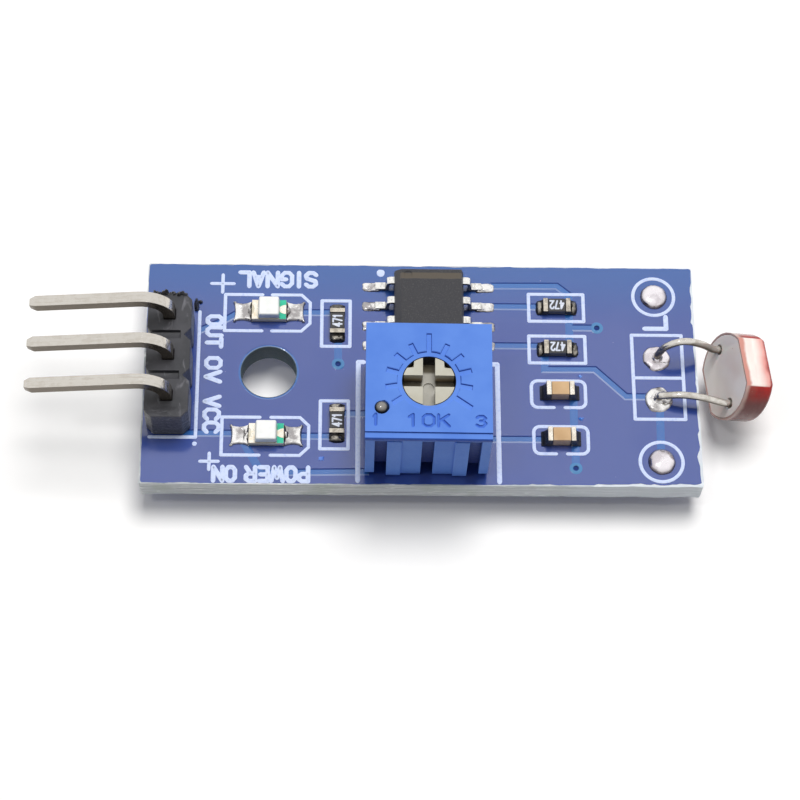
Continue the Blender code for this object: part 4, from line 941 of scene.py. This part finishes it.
HEADER = header_finish()
EPOXY = package_finish()
TRIMMER_PLASTIC = trimmer_finish()
CREAM = rotor_finish()
LENS = lens_finish()
CERAMIC = ceramic_finish()
LACQUER = coat_finish()
RUBBER = plastic_finish("seal_rubber", (34, 32, 32), (44, 42, 42), 0.7, 0.1, 0.006).material
ELEMENT = plastic_finish("element_ceramic", (224, 222, 214), (210, 206, 198), 0.5, 0.1, 0.004).material
CAST = plastic_finish("cast_base", (74, 88, 128), (62, 76, 116), 0.5, 0.2, 0.02).material
LED_BASE = plastic_finish("lamp_base", (226, 222, 204), (206, 198, 176), 0.45, 0.1, 0.006).material
LED_GREEN = plastic_finish("lamp_green_mask", (60, 198, 162), (44, 176, 142), 0.35, 0.1, 0.004).material
GLAZE = plastic_finish("resistor_glaze", (40, 40, 42), (52, 50, 50), 0.32, 0.08, 0.005, 0.3).material
CODE_INK = plastic_finish("code_ink", (226, 232, 244), (204, 212, 230), 0.5, 0.03, 0.002).material
TAN = plastic_finish("tan_ceramic", (210, 176, 134), (196, 160, 116), 0.4, 0.08, 0.006, 0.2).material
TRACK = plastic_finish("sensor_track", (196, 92, 44), (170, 70, 34), 0.5, 0.06, 0.004).material

# Each metal's third colour is painted shade, for its steep faces and below its foot
PINS = metal_finish(
    "plated_pins", (212, 207, 199), (204, 198, 189), (112, 103, 91), 0.17, 0.14, (0.06, 1, 1)
)
LEADS = metal_finish("tinned_leads", (250, 249, 245), (214, 212, 208), (96, 94, 92), 0.2, 0.12)
WIRE = metal_finish(
    "sensor_wire", (222, 218, 211), (196, 190, 181), (104, 97, 87), 0.18, 0.16, (0.3, 1, 1), steep=(0.1, 0.9)
)
SPRING = metal_finish("spring_metal", (214, 190, 130), (170, 146, 92), (120, 98, 60), 0.3, 0.1)
STEEL = metal_finish(
    "ball_steel", (150, 147, 144), (120, 114, 108), (26, 24, 24), 0.2, 0.2, relief=0.004, steep=(0.5, 1.0)
)
CHIP_METAL = metal_finish(
    "chip_metal", (218, 210, 196), (170, 162, 150), (52, 50, 50), 0.24, 0.1, steep=(0.7, 0.98), foot=1.96
)
CAPACITOR_METAL = metal_finish(
    "capacitor_metal", (246, 240, 228), (220, 210, 192), (44, 46, 54), 0.3, 0.14,
    metallic=0.55, steep=(0.55, 0.95), foot=2.28
)
LAMP_METAL = metal_finish(
    "lamp_terminal_metal", (252, 246, 234), (240, 226, 200), (120, 92, 54), 0.3, 0.14, metallic=0.3
)
SOLDER = solder_finish("bright_solder", (250, 248, 246), (176, 172, 172), (134, 130, 130), 0.42, 0.014)
DOME_SOLDER = solder_finish("frosted_solder", (248, 243, 247), (218, 211, 216), (112, 104, 108), 0.5, 0.01)
# A darker copy of the solder: painted shade for the chips' fillets
SHADED_FILLET = solder_finish("chip_fillets_painted_shade", (176, 170, 160), (110, 106, 100), (34, 34, 38), 0.5, 0.006)


def solder(name, shape, finish=SOLDER, stands_for=()):
    """Puts solder in the scene, with its creases shaded smooth."""
    piece(name, shape, finish, stands_for=stands_for, sharp=SMOOTH_ANGLE)


def box_lines(x0, x1, y0, y1):
    """A rectangle as one line."""
    return [[(x0, y0), (x1, y0), (x1, y1), (x0, y1), (x0, y0)]]


def lamp_lines(x0, x1, y0, y1, gap):
    """An indicator's frame, with cut corners at the marked end and a gap in both long sides."""
    cut = 0.5
    return [
        [(gap[0], y1), (x0, y1), (x0, y0), (gap[0], y0)],
        [(gap[1], y1), (x1 - cut, y1), (x1, y1 - cut), (x1, y0 + cut), (x1 - cut, y0), (gap[1], y0)],
    ]


def round_lines(x0, x1, y0, y1, gap):
    """A frame with round corners and a gap in the near side."""
    radius = 0.35
    left, right, near, far = x0 + radius, x1 - radius, y0 + radius, y1 - radius
    line = [(gap[1], y0)]
    for x, y, start in ((right, near, -90), (right, far, 0), (left, far, 90), (left, near, 180)):
        line += arc(x, y, radius, start, start + 90, 4)
    return [line + [(gap[0], y0)]]


def plus_lines(x, y, width, height):
    """A plus sign as two lines."""
    return [
        [(x - width / 2, y), (x + width / 2, y)],
        [(x, y - height / 2), (x, y + height / 2)],
    ]


def board_outlines(edge, gap):
    """The plan of the board with its holes. The mounting hole is wider by the gap."""
    outlines = [edge, circle(*MOUNT_HOLE[:2], MOUNT_HOLE[2] + gap, 72)]
    for x, y in VIAS:
        outlines.append(circle(x, y, VIA_RADIUS, 20))
    for y in HEADER_YS:
        outlines.append(circle(HEADER_X, y, SQUARE_PIN_HOLE, 24))
    for x, y in TRIMMER_PINS:
        place = trimmer_frame @ Vector((x, y, 0))
        outlines.append(circle(place.x, place.y, ROUND_PIN_HOLE, 24))
    for y in (*SENSOR_PAD_YS, *SPARE_PAD_YS):
        outlines.append(circle(SENSOR_PAD_X, y, ROUND_PIN_HOLE, 24))
    return outlines


def make_board():
    """Glass fibre between two coats of mask, tracks on both sides, the vias, and crumbs of mask."""
    layers = (
        ("board_core", 0.012, 0.02, 3.0, 0.0, CORE_BOTTOM, CORE_TOP, FIBRE),
        ("mask_top", MASK_SETBACK, MASK_WAVE, 8.0, MASK_HOLE_GAP, CORE_TOP - LAP, MASK_TOP, MASK),
        ("mask_bottom", MASK_SETBACK, MASK_WAVE, 21.0, MASK_HOLE_GAP, MASK_BOTTOM, CORE_BOTTOM + LAP, MASK),
    )
    for name, setback, wave, seed, gap, bottom, top, finish in layers:
        layer = welded(plate(board_outlines(wavy_edge(setback, wave, seed), gap), bottom, top))
        piece(name, layer, finish, stands_for=("circuit_board",))

    sunk = MASK_TOP - 0.004
    raised = []
    # Each track is a hair lower than the one before, so that no two tops share a plane
    for i, route in enumerate(TOP_TRACKS):
        raised.append(band(route, TRACE_WIDTH, TRACE_SLOPE, TRACE_TOP - TRACE_STEP * i, MASK_TOP - 0.002))
    x, y, radius = MOUNT_HOLE
    raised.append(ring(x, y, radius + 0.06, radius + 0.12, RING_SLOPE, MASK_TOP + 0.004, sunk, 72))
    outer, high = VIA_RING_RADIUS - 0.06, TRACE_TOP + 0.001
    rings = [ring(x, y, VIA_RADIUS - 0.02, outer, RING_SLOPE, high, sunk) for x, y in VIAS]
    piece("via_rings", joined(rings), MASK_TEAL)
    tracks = joined(raised)
    piece("tracks_top", tracks, (MASK_COPPER, MASK_POOLED_AND_SHADED, MASK_PAINTED_GLINT), sharp=8)
    # Painted shade darkens the tracks' far sides and a painted highlight makes their near sides pale
    for face in tracks.polygons:
        if abs(face.normal.z) < 0.995 and abs(face.normal.y) > 0.1:
            face.material_index = 1 if face.normal.y > 0 else 2

    sleeves = [ring(x, y, VIA_RADIUS - 0.03, VIA_RADIUS, 0.01, TRACE_TOP - 0.004, 0.05) for x, y in VIAS]
    piece("via_sleeves", joined(sleeves), MASK_TEAL)
    # The vias' plugs take the darker mask: mask pooled in the hole, with painted shade
    plugs = bmesh.new()
    for i, (x, y) in enumerate(VIAS):
        lump(plugs, (x, y, CORE_TOP - 0.01), VIA_RADIUS, VIA_RADIUS, -0.05, seed=i + 1.0)
        lump(plugs, (x, y, CORE_BOTTOM + 0.01), VIA_RADIUS, VIA_RADIUS, 0.05, seed=i + 4.0)
    piece("via_plugs", plugs, MASK_POOLED_AND_SHADED, sharp=SMOOTH_ANGLE)
    crumbs = bmesh.new()
    for i, (x, y, size) in enumerate(((9.17, -0.1, 0.13), (9.13, -2.82, 0.15), (-5.7, -5.4, 0.17))):
        lump(crumbs, (x, y, MASK_TOP), size, size * 0.7, 0.07, seed=i + 2.0, wild=0.9)
    piece("mask_crumbs", crumbs, MASK_CRUMB, sharp=SMOOTH_ANGLE)

    under = []
    # Strips made as on top, then turned to face down
    turned_down = Matrix.Translation((0, 0, 0.018)) @ Matrix.Diagonal((1, 1, -1, 1))
    for i, route in enumerate(BOTTOM_TRACKS):
        strip = band(route, TRACE_WIDTH * 1.3, TRACE_SLOPE, 0.021 - 0.0003 * i, 0.0)
        strip.transform(turned_down)
        strip.flip_normals()
        under.append(strip)
    under += [ring(x, y, VIA_RADIUS, VIA_RING_RADIUS - 0.04, RING_SLOPE, -0.002, 0.016) for x, y in VIAS]
    piece("tracks_bottom", joined(under), MASK_COPPER, sharp=8)


def inked(lines, width):
    """Lines of ink, whose tops lie at one height whatever their width."""
    return strokes(lines, width, INK_TOP - INK_HALF_HEIGHT, INK_HALF_HEIGHT / (width / 2))


def make_silkscreen():
    """The white lines and lettering."""
    # Frames of the two indicators, and their plus signs
    lines = lamp_lines(-11.42, -6.47, 2.62, 4.97, (-9.26, -8.68))
    lines += lamp_lines(-11.4, -6.45, -5.22, -2.87, (-9.25, -8.6))
    lines += plus_lines(-11.6, 5.68, 1.3, 1.14)
    lines += plus_lines(-12.06, -5.62, 1.02, 0.99)
    # Frames of the four resistors and two capacitors
    lines += box_lines(-5.78, -4.14, 1.66, 4.61)
    lines += box_lines(-5.8, -4.2, -4.8, -1.81)
    lines += box_lines(6.3, 9.5, 3.4, 5.16)
    lines += box_lines(6.26, 9.52, 0.71, 2.44)
    lines += round_lines(6.33, 9.44, -2.11, -0.43, (7.6, 8.25))
    lines += round_lines(6.4, 9.5, -5.0, -3.31, (7.65, 8.3))
    # The header's edge, the photoresistor's place, and rings round the spare pads
    lines += [[(-12.88, 3.82), (-12.88, -4.14), (-15.5, -4.14)]]
    lines += box_lines(12.25, 15.15, -2.8, 2.55)
    lines += [[(12.25, -0.19), (15.15, -0.19)]]
    for y, radius in ((5.05, 1.2), (-5.45, 1.22)):
        outline = circle(13.64, y, radius)
        lines.append(outline + outline[:1])
    fine = inked(lines, INK_WIDTH)

    # The trimmer's two sides, and the letter L by the photoresistor
    broad_lines = [
        [(-3.34, 0.67), (-3.64, 0.67), (-3.64, -6.74)],
        [(4.05, 0.59), (4.39, 0.59), (4.39, -6.76)],
        [(14.3, 3.75), (14.3, 2.98), (13.05, 2.98)],
    ]
    broad = inked(broad_lines, BROAD_INK_WIDTH)

    labels = lettering("SIGNAL", (-8.4, 5.98), 4.5, 0.9, 180)
    labels += lettering("POWER ON", (-9.12, -6.38), 5.35, 0.84, 180)
    labels += lettering("OUT", (-12.0, 2.56), 1.95, 0.82, -90)
    labels += lettering("0V", (-12.0, 0.1), 1.5, 0.82, -90)
    labels += lettering("VCC", (-12.0, -2.7), 2.2, 0.82, -90)
    words = inked(labels, LABEL_INK_WIDTH)
    dots = bmesh.new()
    lump(dots, (-2.36, 6.47, MASK_TOP - 0.005), 0.24, 0.24, 0.035, seed=3.0)
    lump(dots, (-12.92, -4.54, MASK_TOP - 0.005), 0.14, 0.13, 0.03, seed=5.0)
    piece("silkscreen", joined([fine, broad, words, as_mesh("dots", dots)]), INK)


def soldered_pin(name, node, width, segments):
    """A plated pin with rounded edges, and solder on its lower end."""
    refined(name, node, [PINS, SOLDER], width, segments, split=PIN_SOLDER_TOP)


def make_header():
    """The notched insulator, torn flash along its far end, and three bent pins."""
    refined("header_block", "header_insulator", HEADER, 0.05)
    flash = bmesh.new()
    # A rim of torn plastic along the far end's top, and two crumbs on the board beside it
    for i in range(12):
        x = -15.3 + 0.155 * i
        height = 0.34 + 0.3 * noise.noise(Vector((x * 3.7, 1.0, 0.0)))
        lump(flash, (x, 3.7 + 0.05 * math.sin(i * 2.1), 3.92), 0.16, 0.17, height, seed=2.0 + i, wild=0.5)
    lump(flash, (-13.08, 4.2, 1.6), 0.14, 0.32, 0.6, seed=12.0, wild=0.6)
    lump(flash, (-12.86, 4.45, 1.6), 0.12, 0.12, 0.26, seed=14.0, wild=0.6)
    # A rim along the near end
    for i in range(9):
        x = -15.1 + 0.19 * i
        lump(flash, (x, -3.62 - 0.1 * math.sin(i * 1.7), 3.3), 0.16, 0.14, 0.5, seed=30.0 + i, wild=0.7)
    piece("header_flash", flash, HEADER, sharp=SMOOTH_ANGLE)
    for i in (1, 2, 3):
        soldered_pin(f"bent_pin_{i}", f"header_pin_{i}", 0.07, 3)


def make_comparator():
    """The package, its leads, and solder that rises round each lead's foot."""
    refined("package", "comparator_package", EPOXY, 0.035, 2, 20)
    for i in range(1, 9):
        refined(f"gull_lead_{i}", f"comparator_lead_{i}", LEADS, 0.025, 2, 40)
    shape = bmesh.new()
    for side in (-1, 1):
        for i, y in enumerate(LEAD_ROWS):
            seed = i + 10 * side
            x = COMPARATOR[0] + side * 3.3
            # Solder spread over the pad, and solder over the lead's foot
            lump(shape, (x, y, MASK_TOP - 0.004), 0.56, 0.3, 0.13, 6.0, 5.0, 0.7, 0.14, seed)
            lump(shape, (x + side * 0.1, y, 1.66), 0.4, 0.24, 0.1, 3.0, 2.0, 0.8, 0.3, seed + 0.5)
    solder("lead_solder", shape)


def make_trimmer():
    """The housing with sunk lettering, its rotor, its plug ball, its pins and what is inside."""
    marks = lettering("1", (-2.92, -2.4), 0.28, 0.62)
    marks += lettering("3", (2.86, -2.44), 0.5, 0.62)
    marks += lettering("10K", (-0.03, -2.42), 2.3, 0.68)
    cutter = strokes(marks, 0.18, TRIMMER_TOP, 0.9, 2)
    cutter.transform(trimmer_frame)
    refined(
        "housing", "trimmer_housing", TRIMMER_PLASTIC, 0.04, 3, sharp=12,
        wide=on_dial, cutter=welded(cutter)
    )
    refined("dial_rotor", "trimmer_rotor", CREAM, 0.015, 2, 28, "rotor", sharp=20)
    x, y, z, radius = PLUG_BALL
    shape = bmesh.new()
    bmesh.ops.create_icosphere(shape, subdivisions=4, radius=radius)
    for vert in shape.verts:
        vert.co *= 1 + 0.012 * noise.noise(vert.co * 5)
    ball = as_mesh("ball", shape)
    ball.transform(trimmer_frame @ Matrix.Translation((x, y, z)))
    piece("plug_ball", ball, STEEL, stands_for=("trimmer_plug_ball",), sharp=SMOOTH_ANGLE)
    inside = {"seal_ring": RUBBER, "element": ELEMENT, "base": CAST, "wiper": SPRING}
    for name, finish in inside.items():
        dress(f"trimmer_{name}", finish)
    for i in (1, 2, 3):
        soldered_pin(f"potentiometer_pin_{i}", f"trimmer_pin_{i}", 0.03, 2)


def make_lamps():
    """Two indicator lamps on their bases, with lumpy solder at both ends."""
    low = SEAT_Z + LED_BASE_HEIGHT - 0.01
    mask_edge = LED_X + LED_COVER_HALF
    left, right = LED_X - LED_HALF_LENGTH, LED_X + LED_HALF_LENGTH
    for name, y in LEDS:
        refined(f"{name}_body", f"{name}_base", LED_BASE, 0.03, 2)
        refined(f"{name}_cover", f"{name}_lens", LENS, 0.05, 3)
        far, near = y + LED_HALF_WIDTH, y - LED_HALF_WIDTH
        strip = [(mask_edge, far), (right, far), (right, near), (mask_edge, near)]
        piece(f"{name}_green", plate([strip], low, low + 0.022), LED_GREEN)
        knob = arc(right, y, 0.29, 90, 270, 16, 0.42 / 0.29)
        end = LED_X - LED_COVER_HALF
        tab = arc(left, y, 0.3, 90, -90, 16, 0.14 / 0.3)
        tab += [(left, near), (end, near), (end, far), (left, far)]
        terminals = [plate([knob], low, low + 0.036), plate([tab], low, low + 0.03)]
        piece(f"{name}_terminals", joined(terminals), LAMP_METAL)
        shape = bmesh.new()
        seed = 3.0 + y
        for side in (-1, 1):
            pillow(shape, (LED_X + side * 1.53, y, MASK_TOP - 0.01), 0.56, 0.66, 0.26, -side, seed + side)
            lump(shape, (LED_X + side * 1.1, y, 1.6), 0.2, 0.3, 0.36, 3.0, 2.2, 0.8, 0.25, seed + 4 * side)
            # Small peaks at the pad's corners
            for across in (-1, 1):
                corner = (LED_X + side * 2.0, y + across * 0.58, 1.59)
                lump(shape, corner, 0.1, 0.1, 0.16, 2.0, 2.0, 0.6, 0.3, seed + across)
        solder(f"{name}_joints", shape, stands_for=(f"{name}_solder_a", f"{name}_solder_b"))


def make_fillets(name, x, y, turn, reach, half_width, finish):
    """Round solder over the foot of a chip's ends, which lie along a direction turned by some degrees."""
    shape = bmesh.new()
    c, s = math.cos(math.radians(turn)), math.sin(math.radians(turn))
    half_x, half_y = (0.26, half_width) if abs(c) > abs(s) else (half_width, 0.26)
    for side in (-1, 1):
        place = (x + side * reach * c, y + side * reach * s, MASK_TOP)
        lump(shape, place, half_x, half_y, 0.34, 3.0, 2.0, 0.7, 0.12, x + y + side)
    solder(name, shape, finish)


def make_ends(name, finish, width):
    """The metal caps at both ends of a chip."""
    for end in ("a", "b"):
        refined(f"{name}_cap_{end}", f"{name}_end_{end}", finish, width, 3, 30)


def make_chips():
    """The chip resistors with their solder and value codes, and the chip capacitors."""
    for name, x, y, turn, code in RESISTORS:
        refined(f"{name}_glaze", f"{name}_body", GLAZE, 0.03, 2)
        make_fillets(f"{name}_fillets", x, y, turn, 0.97, 0.44, SHADED_FILLET)
        make_ends(name, CHIP_METAL, 0.04)
        digits = lettering(code, (x, y), 0.78, 0.5, turn)
        piece(f"{name}_code", strokes(digits, 0.1, GLAZE_TOP, 0.12), CODE_INK)
    for name in CAPACITORS:
        refined(f"{name}_ceramic", f"{name}_body", TAN, 0.03, 2)
        make_ends(name, CAPACITOR_METAL, 0.05)


def make_pads():
    """Solder in the unused pads and round the photoresistor's leads, above and below the board."""
    x = SENSOR_PAD_X
    for i, y in enumerate(SPARE_PAD_YS):
        shape = bmesh.new()
        lump(shape, (x, y, PAD_TOP), 0.79, 0.79, 0.42, 2.0, 2.0, 0.55, 0.05, 3.0 + i)
        lump(shape, (x, y, PAD_BOTTOM), 0.79, 0.79, -0.42, 2.0, 2.0, 0.55, 0.05, 6.0 + i)
        bmesh.ops.recalc_face_normals(shape, faces=shape.faces)
        solder(f"spare_dome_{i + 1}", shape, DOME_SOLDER, (f"spare_pad_solder_{i + 1}",))
    for i, y in enumerate(SENSOR_PAD_YS):
        shape = bmesh.new()
        # A flat dome over the pad, and a cone up the lead
        lump(shape, (x, y, PAD_TOP), 0.8, 0.8, 0.2, 2.0, 4.0, 0.6, 0.1, 9.0 + i)
        lump(shape, (x, y, PAD_TOP + 0.03), 0.5, 0.5, 0.42, 2.0, 1.4, 1.2, 0.2, 2.0 + i)
        # The second joint has a lobe to one side
        if i == 1:
            lump(shape, (x + 0.22, y + 0.1, PAD_TOP + 0.07), 0.5, 0.4, 0.36, 2.4, 2.0, 0.8, 0.3, 4.4)
        # The same two below the board
        lump(shape, (x, y, PAD_BOTTOM), 0.79, 0.79, -0.3, 2.0, 3.0, 0.8, 0.05, 5.0 + i)
        lump(shape, (x, y, PAD_BOTTOM - 0.06), 0.42, 0.42, -0.85, 2.0, 1.6, 1.0, 0.05, 7.0 + i)
        bmesh.ops.recalc_face_normals(shape, faces=shape.faces)
        finish = DOME_SOLDER if i == 0 else SOLDER
        solder(f"sensor_joint_{i + 1}", shape, finish, (f"photoresistor_solder_{i + 1}",))


def smooth_route(points, steps):
    """Points of a smooth curve through the given points."""
    route = []
    ends = [points[0] * 2 - points[1]] + points + [points[-1] * 2 - points[-2]]
    for i in range(1, len(ends) - 2):
        a, b, c, d = ends[i - 1], ends[i], ends[i + 1], ends[i + 2]
        square = a * 2 - b * 5 + c * 4 - d
        cube = b * 3 - a - c * 3 + d
        for j in range(steps):
            t = j / steps
            route.append((b * 2 + (c - a) * t + square * t ** 2 + cube * t ** 3) / 2)
    return route + [points[-1]]


def make_sensor():
    """The photoresistor's coat, ceramic and two smooth leads."""
    refined("sensor_lacquer", "photoresistor_coat", LACQUER, 0.02, 2, 40)
    refined("sensor_body", "photoresistor_disc", CERAMIC, 0.05, 3, 40)
    dress("photoresistor_track", TRACK)
    up = Vector(UP)
    for i, (side, pad_y, rises) in enumerate(zip((1, -1), SENSOR_PAD_YS, SENSOR_LEAD_RISES)):
        entry = sensor_frame @ Vector((0, side * SENSOR_LEAD_SPACING / 2, 0))
        end = entry + sensor_axis * (SENSOR_CERAMIC - 0.02)
        pad = Vector((SENSOR_PAD_X, pad_y, 0))
        over = [pad.lerp(entry, share) for share, height in rises]
        for point, (share, height) in zip(over, rises):
            point.z = BOARD_TOP + height
        before = entry - sensor_axis * 2 * SENSOR_LEAD_RADIUS
        route = smooth_route([pad + up * (BOARD_TOP + 0.54), *over, before, entry], 12)
        points = [pad - up * 1.5, pad + up * BOARD_TOP] + route + [end]
        mesh = tubes([(False, [(*place, 1.0) for place in points])], SENSOR_LEAD_RADIUS, 5)
        node = f"photoresistor_lead_{i + 1}"
        name = f"sensor_wire_{i + 1}"
        piece(name, mesh, WIRE, stands_for=(node,), sharp=SMOOTH_ANGLE)


def background_share(tree):
    """1 for rays that show the background: those of the camera, and of reflections and clear pieces."""
    paths = add_node(tree, "ShaderNodeLightPath").outputs
    share = paths["Is Camera Ray"]
    for kind in ("Is Glossy Ray", "Is Transmission Ray"):
        share = add_node(tree, "ShaderNodeMath", {0: share, 1: paths[kind]}, operation="MAXIMUM").outputs[0]
    return share


def choose(tree, unseen, seen):
    """The second shader's output for rays that show the background, and the first for the others."""
    inputs = {0: background_share(tree), 1: unseen.outputs[0], 2: seen.outputs[0]}
    return add_node(tree, "ShaderNodeMixShader", inputs).outputs[0]


def emptied(block):
    """The node tree of a material or world, with no nodes."""
    block.use_nodes = True
    block.node_tree.nodes.clear()
    return block.node_tree


def make_floor():
    """A pale floor that keeps the shadow."""
    bpy.ops.mesh.primitive_plane_add(size=3.0, location=(0, 0, FLOOR_Z * MM))
    floor = bpy.context.object
    floor.name = "floor"
    material = bpy.data.materials.new("pale_floor")
    tree = emptied(material)
    bright = add_node(tree, "ShaderNodeBsdfDiffuse", {"Color": (0.97, 0.97, 0.97, 1)})
    glow = add_node(tree, "ShaderNodeEmission", {"Strength": 0.06})
    seen = add_node(tree, "ShaderNodeAddShader", {0: bright.outputs[0], 1: glow.outputs[0]})
    plain = add_node(tree, "ShaderNodeBsdfDiffuse", {"Color": (0.8, 0.8, 0.8, 1)})
    add_node(tree, "ShaderNodeOutputMaterial", {"Surface": choose(tree, plain, seen)})
    floor.data.materials.append(material)


def make_world():
    """A sky that is brighter on one side, and white where it is seen or mirrored."""
    world = bpy.data.worlds.new("studio")
    bpy.context.scene.world = world
    tree = emptied(world)
    direction = add_node(tree, "ShaderNodeTexCoord").outputs["Generated"]
    inputs = {0: direction, 1: SKY_BRIGHT_SIDE}
    facing = add_node(tree, "ShaderNodeVectorMath", inputs, operation="DOT_PRODUCT").outputs["Value"]
    inputs = {"Value": facing, **dict(zip(("From Min", "From Max", "To Min", "To Max"), SKY_LEVELS))}
    level = add_node(tree, "ShaderNodeMapRange", inputs).outputs["Result"]
    light = add_node(tree, "ShaderNodeBackground", {"Color": (0.96, 0.98, 1.0, 1), "Strength": level})
    white = add_node(tree, "ShaderNodeBackground", {"Color": (1, 1, 1, 1), "Strength": 1.0})
    add_node(tree, "ShaderNodeOutputWorld", {"Surface": choose(tree, light, white)})


def make_lights():
    """The round lamps, turned to the middle of the part."""
    for name, place, size, power, colour, reflected in LAMPS:
        data = bpy.data.lights.new(name, "AREA")
        data.shape = "DISK"
        data.size = size
        data.energy = power
        data.color = colour
        lamp = bpy.data.objects.new(name, data)
        bpy.context.scene.collection.objects.link(lamp)
        lamp.visible_glossy = reflected
        lamp.location = place
        lamp.rotation_euler = (-Vector(place)).to_track_quat("-Z", "Y").to_euler()


def make_camera():
    """The camera at the photograph's viewing angle, which looks down its own Z axis."""
    data = bpy.data.cameras.new("camera")
    data.lens = CAMERA_LENS
    data.sensor_width = 36.0
    data.clip_start = 0.001
    data.clip_end = 10.0
    camera = bpy.data.objects.new("camera", data)
    bpy.context.scene.collection.objects.link(camera)
    camera.matrix_world = (
        Matrix.Translation(CAMERA_TARGET * MM)
        @ Matrix.Rotation(CAMERA_AZIMUTH, 4, "Z")
        @ Matrix.Rotation(math.pi / 2 - CAMERA_ELEVATION, 4, "X")
        @ Matrix.Rotation(CAMERA_ROLL, 4, "Z")
        @ Matrix.Translation((0, 0, CAMERA_DISTANCE * MM))
    )
    bpy.context.scene.camera = camera


make_board()
make_silkscreen()
make_header()
make_comparator()
make_trimmer()
make_lamps()
make_chips()
make_pads()
make_sensor()
make_floor()
make_world()
make_lights()
make_camera()

bpy.context.scene.view_settings.view_transform = "Standard"
